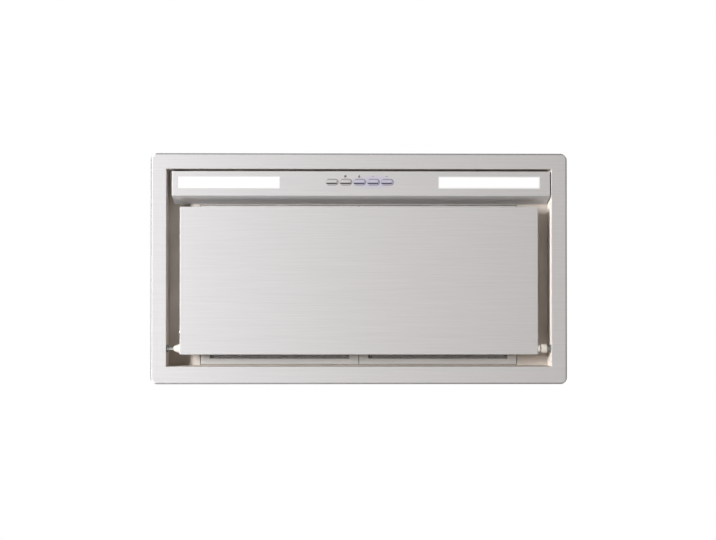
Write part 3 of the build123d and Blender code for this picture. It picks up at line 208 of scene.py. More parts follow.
def flange_stainless(name, light, dark, roughness):
    """The flange's steel, ground along its length before it was pressed. Its rolled edge is
    painted dark all round: painted shade for the roll that turns away from the light, which also
    dims its highlight. The walls inside keep the mill's finish, and the grain of the two side
    walls runs along them."""
    material, tree, place = new_material(name)
    split = add(tree, "ShaderNodeSeparateXYZ", {"Vector": place})
    low, high = (Vector(corner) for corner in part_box("face_frame"))
    reach = []
    for axis, name_of_axis in ((0, "X"), (1, "Y")):
        middle = (low[axis] + high[axis]) / 2
        from_middle = add(tree, "ShaderNodeMath", {
            "operation": "SUBTRACT", 0: split.outputs[name_of_axis], 1: middle}).outputs[0]
        distance = add(tree, "ShaderNodeMath", {
            "operation": "ABSOLUTE", 0: from_middle}).outputs[0]
        reach.append(add(tree, "ShaderNodeMath", {
            "operation": "SUBTRACT", 0: (high[axis] - low[axis]) / 2, 1: distance}).outputs[0])
    on_side = add(tree, "ShaderNodeMath", {
        "operation": "LESS_THAN", 0: reach[0], 1: reach[1]}).outputs[0]
    above = add(tree, "ShaderNodeMath", {
        "operation": "GREATER_THAN", 0: split.outputs["Z"], 1: low.z + FRAME_SHEET}).outputs[0]
    nearest = add(tree, "ShaderNodeMath", {
        "operation": "MINIMUM", 0: reach[0], 1: reach[1]}).outputs[0]
    inward = add(tree, "ShaderNodeMath", {
        "operation": "GREATER_THAN", 0: nearest, 1: FLANGE_BAND}).outputs[0]
    inside = add(tree, "ShaderNodeMath", {
        "operation": "MULTIPLY", 0: above, 1: inward}).outputs[0]
    on_side_wall = add(tree, "ShaderNodeMath", {
        "operation": "MULTIPLY", 0: inside, 1: on_side}).outputs[0]
    lengthwise = streaks(tree, place, HAIR_SPACING, HAIR_LENGTH, ALONG_X, 3.0)
    crosswise = streaks(tree, place, HAIR_SPACING, HAIR_LENGTH, ALONG_Y, 5.0)
    hairs = add(tree, "ShaderNodeMix", {
        "data_type": "FLOAT", "Factor": on_side_wall, 2: lengthwise, 3: crosswise}).outputs[0]
    ground = two_tones(tree, hairs, light, dark)
    clouds = add(tree, "ShaderNodeTexNoise", {
        "Vector": place, "Scale": 1 / (35 * MM), "Detail": 3.0, "Roughness": 0.5}).outputs["Fac"]
    rolled = two_tones(tree, clouds, LIGHT_MILL, DARK_MILL)
    # Painted shade: the colour darkens over the rolled edge.
    past_roll = add(tree, "ShaderNodeMapRange", {"Value": nearest, "From Max": EDGE_ROLL})
    stretched = add(tree, "ShaderNodeMix", {
        "data_type": "RGBA", "Factor": past_roll.outputs["Result"],
        6: linear(ROLLED_STEEL), 7: ground}).outputs[2]
    grain = add(tree, "ShaderNodeMix", {
        "data_type": "VECTOR", "Factor": on_side_wall,
        4: add(tree, "ShaderNodeCombineXYZ", {ALONG_X: 1.0}).outputs[0],
        5: add(tree, "ShaderNodeCombineXYZ", {ALONG_Y: 1.0}).outputs[0]})
    finish_material(tree, {
        "Base Color": add(tree, "ShaderNodeMix", {
            "data_type": "RGBA", "Factor": inside, 6: stretched, 7: rolled}).outputs[2],
        "Metallic": add(tree, "ShaderNodeMapRange", {
            "Value": inside, "To Min": STEEL_METAL, "To Max": MILL_METAL}).outputs["Result"],
        "Roughness": add(tree, "ShaderNodeMapRange", {
            "Value": hairs, **MIDDLE, "To Min": roughness - 0.04,
            "To Max": roughness + 0.04}).outputs["Result"],
        "Anisotropic": STEEL_GRAIN, "Anisotropic Rotation": ACROSS_GRAIN,
        "Tangent": grain.outputs[1],
        "Normal": add(tree, "ShaderNodeBump", {
            "Height": hairs, "Distance": 0.01 * MM, "Strength": 0.2}).outputs["Normal"]})
    return material


def zinc_sheet(name, light, dark, grain):
    """Hot-dip galvanised sheet: the zinc froze in flat crystals, which show as a mosaic of
    slightly lighter and darker patches with a dull shine."""
    material, tree, place = new_material(name)
    crystals = add(tree, "ShaderNodeTexVoronoi", {
        "Vector": place, "Scale": 1 / (grain * MM), "Randomness": 1.0, "feature": "F1"})
    tone = add(tree, "ShaderNodeSeparateColor", {"Color": crystals.outputs["Color"]})
    film = add(tree, "ShaderNodeTexNoise", {
        "Vector": place, "Scale": 1 / (60 * MM), "Detail": 3.0, "Roughness": 0.5}).outputs["Fac"]
    share = add(tree, "ShaderNodeMix", {
        "data_type": "FLOAT", "Factor": 0.35, 2: tone.outputs["Red"], 3: film}).outputs[0]
    finish_material(tree, {
        "Base Color": add(tree, "ShaderNodeMix", {
            "data_type": "RGBA", "Factor": share, 6: linear(light), 7: linear(dark)}).outputs[2],
        "Metallic": 0.8,
        "Roughness": add(tree, "ShaderNodeMapRange", {
            "Value": tone.outputs["Green"], "To Min": 0.46, "To Max": 0.62}).outputs["Result"],
        "Normal": add(tree, "ShaderNodeBump", {
            "Height": tone.outputs["Blue"], "Distance": 0.01 * MM,
            "Strength": 0.15}).outputs["Normal"]})
    return material


def rolled_metal(name, light, dark, roughness, direction):
    """Cold-rolled metal: shallow lines along the way that it went through the rolls, drawn
    0.8 mm apart to show."""
    material, tree, place = new_material(name)
    lines = streaks(tree, place, 0.8, 60, direction, 7.0)
    finish_material(tree, {
        "Base Color": two_tones(tree, lines, light, dark),
        "Metallic": 1.0,
        "Roughness": add(tree, "ShaderNodeMapRange", {
            "Value": lines, **MIDDLE, "To Min": roughness - 0.06,
            "To Max": roughness + 0.06}).outputs["Result"],
        "Normal": add(tree, "ShaderNodeBump", {
            "Height": lines, "Distance": 0.01 * MM, "Strength": 0.3}).outputs["Normal"]})
    return material


def plated_metal(name, light, dark, roughness):
    """Electroplated steel: a bright skin, a little cloudy, with fine pits from the barrel."""
    material, tree, place = new_material(name)
    pits = add(tree, "ShaderNodeTexNoise", {
        "Vector": place, "Scale": 1 / (0.6 * MM), "Detail": 3.0, "Roughness": 0.5}).outputs["Fac"]
    clouds = add(tree, "ShaderNodeTexNoise", {
        "Vector": place, "Scale": 1 / (7 * MM), "Detail": 2.0, "Roughness": 0.5}).outputs["Fac"]
    finish_material(tree, {
        "Base Color": two_tones(tree, clouds, light, dark),
        "Metallic": 1.0,
        "Roughness": add(tree, "ShaderNodeMapRange", {
            "Value": clouds, **MIDDLE, "To Min": roughness - 0.04,
            "To Max": roughness + 0.05}).outputs["Result"],
        "Normal": add(tree, "ShaderNodeBump", {
            "Height": pits, "Distance": 0.01 * MM, "Strength": 0.3}).outputs["Normal"]})
    return material


def chrome_cap(name, light, dark, glow):
    """Satin chrome plating on a moulded cap. Painted shade: the crown's far side, a thin line
    along its near edge and its right end are darkened in the colour, where a crowned cap in its
    gap is shaded from the light on the left, so each cap shows a bright band with a dark crescent
    under it."""
    material, tree, place = new_material(name)
    clouds = add(tree, "ShaderNodeTexNoise", {
        "Vector": place, "Scale": 1 / (7 * MM), "Detail": 2.0, "Roughness": 0.5}).outputs["Fac"]
    pits = add(tree, "ShaderNodeTexNoise", {
        "Vector": place, "Scale": 1 / (0.6 * MM), "Detail": 3.0, "Roughness": 0.5}).outputs["Fac"]
    split = add(tree, "ShaderNodeSeparateXYZ", {"Vector": place})
    low, high = (Vector(corner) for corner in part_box("button_3"))
    half_pitch = (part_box("button_4")[0][0] - low.x) / 2
    across = add(tree, "ShaderNodeMath", {
        "operation": "WRAP", 0: split.outputs["X"], 1: half_pitch, 2: -half_pitch}).outputs[0]
    along_y = add(tree, "ShaderNodeMath", {
        "operation": "SUBTRACT", 0: split.outputs["Y"], 1: (low.y + high.y) / 2}).outputs[0]
    half_length, half_width = (high.x - low.x) / 2, (high.y - low.y) / 2
    far_side = add(tree, "ShaderNodeMapRange", {
        "Value": along_y, "From Min": 0.1 * half_width, "From Max": 0.45 * half_width})
    near_line = add(tree, "ShaderNodeMapRange", {
        "Value": along_y, "From Min": -0.95 * half_width, "From Max": -0.7 * half_width,
        "To Min": 0.8, "To Max": 0})
    right_end = add(tree, "ShaderNodeMapRange", {
        "Value": across, "From Min": 0.78 * half_length, "From Max": 0.92 * half_length})
    # Painted shade: the cap's far side, near edge and right end are darkened in its colour.
    masked = add(tree, "ShaderNodeMath", {
        "operation": "MAXIMUM", 0: far_side.outputs["Result"], 1: near_line.outputs["Result"]})
    masked = add(tree, "ShaderNodeMath", {
        "operation": "MAXIMUM", 0: masked.outputs[0], 1: right_end.outputs["Result"]})
    finish_material(tree, {
        "Base Color": add(tree, "ShaderNodeMix", {
            "data_type": "RGBA", "Factor": masked.outputs[0],
            6: two_tones(tree, clouds, light, dark), 7: linear("#3B3639")}).outputs[2],
        "Metallic": 0.3, "Emission Color": linear("#8C88FF"), "Emission Strength": glow,
        "Roughness": add(tree, "ShaderNodeMapRange", {
            "Value": clouds, **MIDDLE, "To Min": 0.38, "To Max": 0.46}).outputs["Result"],
        "Normal": add(tree, "ShaderNodeBump", {
            "Height": pits, "Distance": 0.01 * MM, "Strength": 0.3}).outputs["Normal"]})
    return material


def moulded_plastic(name, light, dark, roughness, texture, depth):
    """Injection-moulded plastic with the mould's fine etched grain, as wide as the texture in
    millimetres, and a slight drift of tone where the melt ran."""
    material, tree, place = new_material(name)
    grain = add(tree, "ShaderNodeTexNoise", {
        "Vector": place, "Scale": 1 / (texture * MM), "Detail": 3.0,
        "Roughness": 0.6}).outputs["Fac"]
    flow = add(tree, "ShaderNodeTexNoise", {
        "Vector": place, "Scale": 1 / (40 * MM), "Detail": 2.0, "Roughness": 0.5}).outputs["Fac"]
    finish_material(tree, {
        "Base Color": two_tones(tree, flow, light, dark),
        "Roughness": add(tree, "ShaderNodeMapRange", {
            "Value": grain, **MIDDLE, "To Min": roughness - 0.07,
            "To Max": roughness + 0.07}).outputs["Result"],
        "IOR": 1.5,
        "Normal": add(tree, "ShaderNodeBump", {
            "Height": grain, "Distance": depth * MM, "Strength": 0.6}).outputs["Normal"]})
    return material


LENS_FLANGE = 2.7 * MM
LENS_FADE = 6 * MM
RIM_GLOW = 0.42


def lit_lens(name, colour, glow):
    """Opal polycarbonate, extruded smooth. By itself it is a pale grey, because much of the
    light that falls on it goes through. The light chips behind it show as an even white, which
    grows dimmer in the last millimetres before its rim."""
    material, tree, place = new_material(name)
    haze = add(tree, "ShaderNodeTexNoise", {
        "Vector": place, "Scale": 1 / (25 * MM), "Detail": 2.0, "Roughness": 0.5}).outputs["Fac"]
    low, high = (Vector(corner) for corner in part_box("light_diffuser_right"))
    middle, half = (low + high) / 2, (high - low) / 2
    split = add(tree, "ShaderNodeSeparateXYZ", {"Vector": place})
    from_centre = add(tree, "ShaderNodeMath", {
        "operation": "ABSOLUTE", 0: split.outputs["X"]}).outputs[0]
    reach = []
    for value, centre, size in (
            (from_centre, middle.x, half.x), (split.outputs["Y"], middle.y, half.y)):
        offset = add(tree, "ShaderNodeMath", {
            "operation": "SUBTRACT", 0: value, 1: centre}).outputs[0]
        distance = add(tree, "ShaderNodeMath", {"operation": "ABSOLUTE", 0: offset}).outputs[0]
        reach.append(add(tree, "ShaderNodeMath", {
            "operation": "SUBTRACT", 0: size - LENS_FLANGE, 1: distance}).outputs[0])
    from_rim = add(tree, "ShaderNodeMath", {
        "operation": "MINIMUM", 0: reach[0], 1: reach[1]}).outputs[0]
    finish_material(tree, {
        "Base Color": two_tones(tree, haze, colour, "#9C9C9A"),
        "Roughness": add(tree, "ShaderNodeMapRange", {
            "Value": haze, **MIDDLE, "To Min": 0.28, "To Max": 0.36}).outputs["Result"],
        "Emission Color": linear("#FFFFFF"),
        "Emission Strength": add(tree, "ShaderNodeMapRange", {
            "Value": from_rim, "From Max": LENS_FADE, "To Min": RIM_GLOW * glow,
            "To Max": glow}).outputs["Result"]})
    return material


def foam_rubber(name, light, dark, cell, depth):
    """Closed-cell foam or moulded rubber: matt black, with open cells cut at its face."""
    material, tree, place = new_material(name)
    cells = add(tree, "ShaderNodeTexVoronoi", {
        "Vector": place, "Scale": 1 / (cell * MM), "feature": "F1"}).outputs["Distance"]
    finish_material(tree, {
        "Base Color": add(tree, "ShaderNodeMix", {
            "data_type": "RGBA", "Factor": cells, 6: linear(dark), 7: linear(light)}).outputs[2],
        "Roughness": 0.85, "IOR": 1.5,
        "Normal": add(tree, "ShaderNodeBump", {
            "Height": cells, "Distance": depth * MM, "Strength": 0.8}).outputs["Normal"]})
    return material


def solder_mask(name, light, dark):
    """A glass-fibre board under solder mask: glossy, with the copper's tracks showing through
    as straight raised lines, drawn about 3 mm apart to show."""
    material, tree, place = new_material(name)
    tracks = add(tree, "ShaderNodeTexBrick", {
        "Vector": place, "Scale": 1 / (9 * MM), "Mortar Size": 0.06, "Brick Width": 1.0,
        "Row Height": 0.35, "offset": 0.3}).outputs["Fac"]
    finish_material(tree, {
        "Base Color": add(tree, "ShaderNodeMix", {
            "data_type": "RGBA", "Factor": tracks, 6: linear(dark), 7: linear(light)}).outputs[2],
        "Roughness": 0.3, "IOR": 1.5,
        "Normal": add(tree, "ShaderNodeBump", {
            "Height": tracks, "Distance": 0.05 * MM, "Strength": 0.5}).outputs["Normal"]})
    return material


finishes = {
    "satin_steel": satin_sheet(
        "satin_stainless_belt_ground", ALONG_X, LIGHT_STEEL, DARK_STEEL, STEEL_ROUGHNESS),
    "galvanised": zinc_sheet("galvanised_sheet_hot_dipped", "#B4B9BB", "#969CA0", 9.0),
    "spring_steel": rolled_metal("spring_steel_rolled", "#A9A8A4", "#8F8E8B", 0.36, ALONG_Z),
    "zinc_screw": plated_metal("zinc_plated_steel", "#D2D2CE", "#B4B4B0", 0.28),
    "aluminium_mesh": satin_sheet("aluminium_expanded", ALONG_X, "#D8D9DA", "#C6C8CA", 0.5),
    "aluminium_profile": satin_sheet("aluminium_rolled", ALONG_X, "#F0EFEE", "#E6E5E4", 0.6),
    "white_nylon": moulded_plastic("nylon_white_moulded", "#E0DBD4", "#D2CCC4", 0.38, 0.7, 0.01),
    "white_abs": moulded_plastic("abs_white_moulded", "#EDEDEA", "#E2E2DF", 0.42, 0.9, 0.02),
    "grey_plastic": moulded_plastic(
        "polyamide_grey_moulded", "#7F8284", "#6E7173", 0.45, 0.9, 0.02),
    "black_plastic": moulded_plastic("abs_black_moulded", "#2A2B2D", "#202123", 0.46, 1.1, 0.03),
    "button_chrome": chrome_cap("satin_chrome_plated_abs", "#CFCDCD", "#C4C2C2", 0.0),
    "light_lens": lit_lens("polycarbonate_opal_lit", "#9A9A98", 0.95),
    "circuit_board": solder_mask("solder_mask_green", "#2E7A45", "#1C5A30"),
    "light_board": solder_mask("solder_mask_white", "#F2F2EE", "#DEDEDA"),
    "seal_foam": foam_rubber("seal_foam_black", "#3A3A3B", "#191919", 1.1, 0.3),
    "black_rubber": foam_rubber("rubber_black_moulded", "#2C2C2D", "#1C1C1C", 0.6, 0.03),
    "magnet": moulded_plastic("ferrite_sintered", "#3A3836", "#2B2A29", 0.6, 0.5, 0.02),
    "motor_steel": plated_metal("motor_can_passivated", "#8B8F92", "#74787B", 0.4),
    "impeller_steel": zinc_sheet("impeller_galvanised", "#B9BEC1", "#9DA3A6", 5.0),
}
# Buttons 3 to 5 show the lamps behind them as a faint blue emission, and the blue cast in their
# colour is painted glow.
backlit_chrome = chrome_cap("satin_chrome_plated_abs_backlit", "#C6C4CE", "#BBB9C4", 0.05)
flange_steel = flange_stainless(
    "satin_stainless_pressed_flange", LIGHT_STEEL, DARK_STEEL, STEEL_ROUGHNESS)


def dress(piece, material):
    """Give a CAD node its material."""
    piece.data.materials.clear()
    piece.data.materials.append(material)


BACKLIT_BUTTONS = (3, 4, 5)
BLUE_REACH = (44, 13, 30)

slots = {part["node"]: part["material_slot"] for part in frame["record"]["subparts"]}
for name, piece in nodes.items():
    dress(piece, finishes[slots[name]])
dress(nodes["face_frame"], flange_steel)
for number in BACKLIT_BUTTONS:
    dress(nodes[f"button_{number}"], backlit_chrome)
middle_lit = sum((Vector(corner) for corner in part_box("button_4")), Vector()) / 2
dress(nodes["control_bar"], lit_stainless(
    "satin_stainless_painted_button_glow", "#CFCCDC", middle_lit, BLUE_REACH))
dress(nodes["filter_tray"], mill_stainless("mill_finish_stainless"))


# New pieces
def new_piece(name, shape, material, body, slot, *replaced):
    """Turn a finished bmesh into a piece that rides on a body and stands for CAD nodes."""
    bmesh.ops.remove_doubles(shape, verts=shape.verts, dist=1e-6)
    bmesh.ops.recalc_face_normals(shape, faces=shape.faces)
    mesh = bpy.data.meshes.new(name)
    shape.to_mesh(mesh)
    shape.free()
    piece = bpy.data.objects.new(name, mesh)
    bpy.context.scene.collection.objects.link(piece)
    mesh.materials.append(material)
    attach(piece, body)
    if replaced:
        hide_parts(*replaced)
    return piece


def box_piece(shape, low, high):
    """A block between two corners."""
    size = Vector(high) - Vector(low)
    middle = (Vector(high) + Vector(low)) / 2
    bmesh.ops.create_cube(
        shape, size=1.0, matrix=Matrix.Translation(middle) @ Matrix.Diagonal((*size, 1)))


# Filter packs: layers of expanded aluminium, staggered, held in the frames' grooves
DIAMOND_LONG = 12.6 * MM
DIAMOND_SHORT = 7.4 * MM
STRAND = 0.95 * MM
STRAND_THICKNESS = 0.45 * MM
STRAND_TILT = math.radians(17)
LAYERS = 3
LAYER_SHIFT = Vector((2.1, 1.2, 0)) * MM
LATCH_ROOM = 0.3 * MM
GUIDE_WALL = 2.1 * MM
GUIDE_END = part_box("latch_guides")[1][1]
PAD_THICKNESS = 1.3 * MM
PAD_JOIN = 0.05 * MM


def diamond(shape, middle):
    """One ring of the expanded sheet, tilted as the slitting knife leaves it."""
    rim = bmesh.ops.create_circle(shape, cap_ends=True, segments=4, radius=0.5)["verts"]
    bmesh.ops.scale(shape, vec=(DIAMOND_LONG, DIAMOND_SHORT, 1), verts=rim)
    plate = rim[0].link_faces[0]
    bmesh.ops.inset_individual(shape, faces=[plate], thickness=STRAND, use_even_offset=True)
    ring = {face for vert in rim for face in vert.link_faces if face is not plate}
    bmesh.ops.delete(shape, geom=[plate], context="FACES_ONLY")
    flat = {vert for face in ring for vert in face.verts}
    grown = bmesh.ops.extrude_face_region(shape, geom=list(ring), use_keep_orig=True)["geom"]
    raised = [item for item in grown if isinstance(item, bmesh.types.BMVert)]
    bmesh.ops.translate(shape, verts=raised, vec=(0, 0, STRAND_THICKNESS))
    every = list(flat) + raised
    tilt = Matrix.Rotation(STRAND_TILT, 3, "X")
    bmesh.ops.rotate(shape, verts=every, cent=(0, 0, 0), matrix=tilt)
    bmesh.ops.translate(shape, verts=every, vec=middle)


def expanded_area(name, node, start, columns, rows, layer_step):
    """A stretch of the pack, from the middle of its first diamond."""
    shape = bmesh.new()
    diamond(shape, start)
    diamond(shape, start + Vector((DIAMOND_LONG / 2, DIAMOND_SHORT / 2, 0)))
    piece = new_piece(name, shape, finishes["aluminium_mesh"], "hood", "aluminium_mesh", node)
    for way, count, step in (
            ("across", columns, (DIAMOND_LONG, 0, 0)),
            ("along", rows, (0, DIAMOND_SHORT, 0)),
            ("layers", LAYERS, layer_step)):
        repeat = piece.modifiers.new(way, "ARRAY")
        repeat.count = count
        repeat.use_relative_offset = False
        repeat.use_constant_offset = True
        repeat.constant_offset_displace = step


def knitted_wire(name):
    """A pad of knitted aluminium wire: a tangle of bright loops, 1.8 mm apart, with painted shade
    between them where a real pad shows the dark of its inside through the gaps.
    """
    material, tree, place = new_material(name)
    loops = add(tree, "ShaderNodeTexVoronoi", {
        "Vector": place, "Scale": 1 / (1.8 * MM), "feature": "DISTANCE_TO_EDGE",
    }).outputs["Distance"]
    gaps = add(tree, "ShaderNodeMapRange", {"Value": loops, "From Min": 0.02, "From Max": 0.2})
    finish_material(tree, {
        "Base Color": add(tree, "ShaderNodeMix", {
            "data_type": "RGBA", "Factor": gaps.outputs["Result"],
            6: linear("#D4D5D6"), 7: linear("#77797B")}).outputs[2],
        "Metallic": 0.5, "Roughness": 0.5,
        "Normal": add(tree, "ShaderNodeBump", {
            "Height": loops, "Distance": 0.5 * MM, "Strength": 0.6}).outputs["Normal"]})
    return material


def expanded_pack(side):
    """The pack of one filter, in three stretches that leave a notch round the latch's guide."""
    node = f"filter_mesh_{side}"
    low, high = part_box(node)
    room = Vector(high) - Vector(low) - (LAYERS - 1) * LAYER_SHIFT
    columns = int(room.x / DIAMOND_LONG - 0.5)
    rows = int(room.y / DIAMOND_SHORT - 0.5)
    lift = DIAMOND_SHORT / 2 * math.sin(STRAND_TILT)
    margin = Vector((
        room.x - (columns - 0.5) * DIAMOND_LONG, room.y - (rows - 0.5) * DIAMOND_SHORT, 0)) / 2
    start = Vector(low) + margin + Vector((0, 0, lift))
    layer_room = room.z - PAD_THICKNESS - 2 * lift - STRAND_THICKNESS
    layer_step = LAYER_SHIFT + Vector((0, 0, layer_room / (LAYERS - 1)))
    latch_low, latch_high = (Vector(corner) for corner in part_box(f"filter_latch_{side}"))
    notch_low = latch_low.x - GUIDE_WALL - start.x - (LAYERS - 1) * LAYER_SHIFT.x - DIAMOND_LONG
    notch_high = latch_high.x + GUIDE_WALL - start.x + DIAMOND_LONG / 2
    first = math.floor(notch_low / DIAMOND_LONG) + 1
    second = math.ceil(notch_high / DIAMOND_LONG)
    front_rows = math.ceil((GUIDE_END - start.y + DIAMOND_SHORT / 2 + LATCH_ROOM) / DIAMOND_SHORT)
    step_x, step_y = Vector((DIAMOND_LONG, 0, 0)), Vector((0, DIAMOND_SHORT, 0))
    expanded_area(f"expanded_pack_{side}_inner", node, start, first, front_rows, layer_step)
    expanded_area(f"expanded_pack_{side}_outer", node, start + second * step_x, columns - second,
                  front_rows, layer_step)
    expanded_area(f"expanded_pack_{side}_rear", node, start + front_rows * step_y, columns,
                  rows - front_rows, layer_step)
    pad = bmesh.new()
    floor_z, join = high[2] - PAD_THICKNESS, GUIDE_END + LATCH_ROOM
    box_piece(pad, (low[0], low[1], floor_z), (latch_low.x - GUIDE_WALL, join, high[2]))
    box_piece(pad, (latch_high.x + GUIDE_WALL, low[1], floor_z), (high[0], join, high[2]))
    box_piece(pad, (low[0], join + PAD_JOIN, floor_z), high)
    new_piece(f"knitted_pad_{side}", pad, knitted, "hood", "aluminium_mesh", node)


knitted = knitted_wire("aluminium_wire_knitted")
for side in ("left", "right"):
    expanded_pack(side)


# Dark rings round the buttons: painted shade in the gaps round them
GASKET_WALL = 0.8 * MM
GASKET_SHIFT = 0.12 * MM
GASKET_HEIGHT = 0.12 * MM
GASKET_CLEARANCE = 0.15 * MM
GASKET_SEGMENTS = 24
HALF_SEGMENT = math.pi / GASKET_SEGMENTS


def gasket(number, material):
    """A dark ring that stands for the shade in the gap round a button: painted shade, shifted to
    the far side and open at its left end, where the light falls in.
    """
    low, high = (Vector(corner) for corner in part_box(f"button_{number}"))
    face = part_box("control_bar")[0][2]
    middle = Vector((
        (low.x + high.x) / 2, (low.y + high.y) / 2 + GASKET_SHIFT, face - GASKET_HEIGHT))
    reach = GASKET_CLEARANCE + GASKET_WALL
    radius = (high.y - low.y) / 2 + reach
    stretch = (high.x - low.x) / 2 + reach - radius
    shape = bmesh.new()
    rim = bmesh.ops.create_circle(
        shape, cap_ends=True, segments=GASKET_SEGMENTS, radius=radius,
        matrix=Matrix.Rotation(HALF_SEGMENT, 4, "Z"))["verts"]
    for side in (-1, 1):
        end = [vert for vert in rim if vert.co.x * side > 0]
        bmesh.ops.translate(shape, verts=end, vec=(side * stretch, 0, 0))
    plate = rim[0].link_faces[0]
    bmesh.ops.inset_individual(shape, faces=[plate], thickness=GASKET_WALL, use_even_offset=True)
    bmesh.ops.delete(shape, geom=[plate], context="FACES_ONLY")
    left_end = [face for face in shape.faces if face.calc_center_median().x < -0.8 * stretch]
    bmesh.ops.delete(shape, geom=left_end, context="FACES")
    lip = bmesh.ops.extrude_face_region(
        shape, geom=list(shape.faces), use_keep_orig=True)["geom"]
    raised = [item for item in lip if isinstance(item, bmesh.types.BMVert)]
    bmesh.ops.translate(shape, verts=raised, vec=(0, 0, GASKET_HEIGHT))
    bmesh.ops.translate(shape, verts=shape.verts, vec=middle)
    new_piece(f"button_shade_ring_{number}", shape, material, "hood", "black_plastic")


# The rings' dark colour is painted shade.
gasket_rubber = foam_rubber("button_shade_ring_dark", "#47434A", "#383539", 0.6, 0.03)
for number in range(1, 6):
    gasket(number, gasket_rubber)


# Marks printed over buttons 2 to 5: a fan, a lamp, a dash and a bar
INK_THICKNESS = 0.04 * MM
MARK_DISTANCE = 9.6 * MM
DASH_WIDTH = 4.0


def printed(name, light, dark):
    """Screen-printed ink, matt and a little uneven at its edges."""
    return moulded_plastic(name, light, dark, 0.6, 0.4, 0.01)


def mark_place(number):
    """The middle of the mark that belongs to a button."""
    low, high = (Vector(corner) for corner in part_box(f"button_{number}"))
    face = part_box("control_bar")[0][2]
    return Vector((
        (low.x + high.x) / 2, (low.y + high.y) / 2 - MARK_DISTANCE, face - INK_THICKNESS))


def mark_bar(shape, place, width, depth):
    """A printed oblong, in millimetres."""
    half = Vector((width, depth, 0)) / 2 * MM
    box_piece(shape, place - half, place + half + Vector((0, 0, INK_THICKNESS)))


def fan_mark(shape, place):
    """Four blades round a hub."""
    for turn in range(4):
        angle = math.radians(45 + 90 * turn)
        blade = place + Vector((math.cos(angle), math.sin(angle), 0)) * 1.35 * MM
        mark_bar(shape, blade, 1.9, 1.5)
    mark_bar(shape, place, 1.2, 1.2)


def lamp_mark(shape, place):
    """A lamp whose shade widens downwards in steps."""
    mark_bar(shape, place + Vector((0, -2.1, 0)) * MM, 1.0, 1.3)
    mark_bar(shape, place + Vector((0, -0.6, 0)) * MM, 2.2, 1.5)
    mark_bar(shape, place + Vector((0, 1.1, 0)) * MM, 3.2, 1.7)


ink = printed("ink_grey_screen_printed", "#4A4749", "#5A5759")
pale_ink = printed("ink_pale_screen_printed", "#8E8C98", "#9A98A4")
for name, number, draw in (("fan_mark", 2, fan_mark), ("lamp_mark", 3, lamp_mark)):
    shape = bmesh.new()
    draw(shape, mark_place(number))
    new_piece(name, shape, ink, "hood", "black_plastic")
for name, number, depth in (("dash_mark", 4, 0.9), ("bar_mark", 5, 1.3)):
    shape = bmesh.new()
    mark_bar(shape, mark_place(number), DASH_WIDTH, depth)
    new_piece(name, shape, pale_ink, "hood", "black_plastic")


# Camera: below the hood and looking up, fitted to the edges in the photograph
CAMERA_PLACE = Vector((-31.9, 28.4, -2406)) * MM
CAMERA_RIGHT = Vector((0.999922, -0.000402, -0.012499))
CAMERA_UP = Vector((-0.000538, -0.999940, -0.010918))
LENS = 71.854

camera = bpy.data.objects.new("camera", bpy.data.cameras.new("camera"))
camera.data.lens = LENS
camera.data.sensor_width = 36.0
camera.data.clip_start = 0.05
camera.data.clip_end = 200
turned = Matrix((CAMERA_RIGHT, CAMERA_UP, CAMERA_RIGHT.cross(CAMERA_UP))).transposed()
camera.matrix_world = Matrix.Translation(CAMERA_PLACE) @ turned.to_4x4()
bpy.context.scene.collection.objects.link(camera)
bpy.context.scene.camera = camera


# Lamps
def soft_lamp(name, place, aim, width, height, watts, tint):
    """A soft box, turned towards the point that it lights."""
    lamp = bpy.data.objects.new(name, bpy.data.lights.new(name, "AREA"))
    lamp.data.shape = "RECTANGLE"
    lamp.data.size = width
    lamp.data.size_y = height
    lamp.data.energy = watts
    lamp.data.color = linear(tint)[:3]
    lamp.location = place
    lamp.rotation_mode = "QUATERNION"
    lamp.rotation_quaternion = (Vector(aim) - Vector(place)).to_track_quat("-Z", "Y")
    lamp.visible_camera = False
    bpy.context.scene.collection.objects.link(lamp)


TOWARDS_KEY = Vector((-0.70, -0.14, -0.69))
KEY_DISTANCE = 3.05
for name, place, width, height, watts, tint in (
        ("key", TOWARDS_KEY * KEY_DISTANCE, 0.9, 0.3, 134, "#FFFFFF"),
        ("below_right", (1.1, 0.4, -2.1), 1.0, 1.0, 2, "#FFD8B0"),
        ("rear", (-0.4, 1.6, -1.6), 1.0, 1.0, 8, "#FFFFFF"),
        ("upper_right", (2.6, -2.4, 2.2), 1.8, 1.8, 60, "#FFFFFF"),
        ("upper_left", (-2.6, 2.0, 2.6), 2.0, 2.0, 40, "#FFFFFF")):
    soft_lamp(name, place, (0, 0, 0), width, height, watts, tint)


def seen_directly(tree):
    """One for a ray from the camera, from a mirror or through glass, and zero for the rest."""
    path = add(tree, "ShaderNodeLightPath", {})
    seen = add(tree, "ShaderNodeMath", {
        "operation": "MAXIMUM", 0: path.outputs["Is Camera Ray"],
        1: path.outputs["Is Glossy Ray"]})
    return add(tree, "ShaderNodeMath", {
        "operation": "MAXIMUM", 0: seen.outputs[0],
        1: path.outputs["Is Transmission Ray"]}).outputs[0]


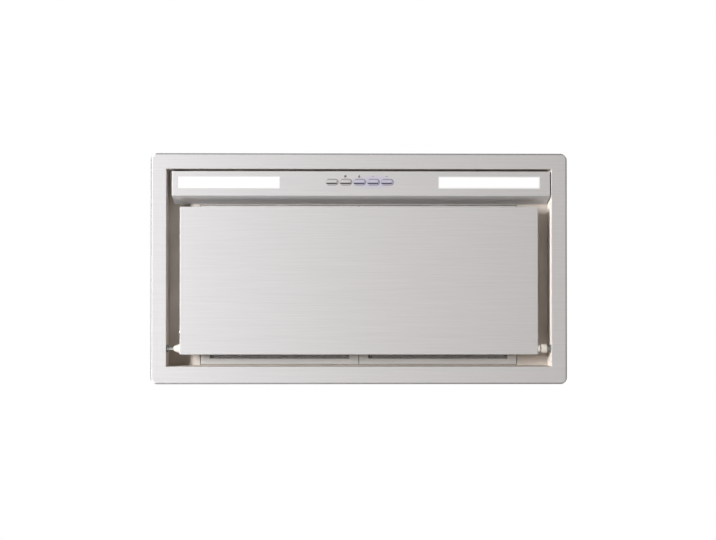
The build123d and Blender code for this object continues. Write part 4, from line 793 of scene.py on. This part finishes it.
# Floor: plain and pale, a room's height below the hood. Where it is seen or mirrored far from
# the middle it turns to the world's white.
FLOOR_DEPTH = 3.6
FLOOR_RADIUS = 60.0
FLOOR_SEGMENTS = 96
FADE_FROM, FADE_TO = 2.2, 5.0

floor_shape = bmesh.new()
bmesh.ops.create_circle(
    floor_shape, cap_ends=True, segments=FLOOR_SEGMENTS, radius=FLOOR_RADIUS)
bmesh.ops.translate(floor_shape, verts=floor_shape.verts, vec=(0, 0, -FLOOR_DEPTH))
floor_mesh = bpy.data.meshes.new("floor")
floor_shape.to_mesh(floor_mesh)
floor_shape.free()
floor = bpy.data.objects.new("floor", floor_mesh)
bpy.context.scene.collection.objects.link(floor)

floor_material, tree, place = new_material("floor_pale")
level = add(tree, "ShaderNodeVectorMath", {"operation": "MULTIPLY", 0: place, 1: (1, 1, 0)})
from_middle = add(tree, "ShaderNodeVectorMath", {"operation": "LENGTH", 0: level.outputs[0]})
far = add(tree, "ShaderNodeMapRange", {
    "interpolation_type": "SMOOTHSTEP", "Value": from_middle.outputs["Value"],
    "From Min": FADE_FROM, "From Max": FADE_TO})
white = add(tree, "ShaderNodeEmission", {"Color": linear("#FFFFFF"), "Strength": 1.0})
plain = add(tree, "ShaderNodeBsdfDiffuse", {"Color": linear("#CFC4B6"), "Roughness": 0.0})
share = add(tree, "ShaderNodeMath", {
    "operation": "MULTIPLY", 0: seen_directly(tree), 1: far.outputs[0]})
both = add(tree, "ShaderNodeMixShader", {
    0: share.outputs[0], 1: plain.outputs[0], 2: white.outputs[0]})
add(tree, "ShaderNodeOutputMaterial", {"Surface": both.outputs[0]})
floor.data.materials.append(floor_material)

# World: white where it is seen or mirrored, and no light of its own
world = bpy.data.worlds.new("studio")
world.use_nodes = True
tree = world.node_tree
tree.nodes.clear()
unlit = add(tree, "ShaderNodeBackground", {"Strength": 0.0})
white = add(tree, "ShaderNodeBackground", {"Color": linear("#FFFFFF"), "Strength": 1.0})
both = add(tree, "ShaderNodeMixShader", {
    0: seen_directly(tree), 1: unlit.outputs[0], 2: white.outputs[0]})
add(tree, "ShaderNodeOutputWorld", {"Surface": both.outputs[0]})
bpy.context.scene.world = world

bpy.context.scene.view_settings.view_transform = "Standard"
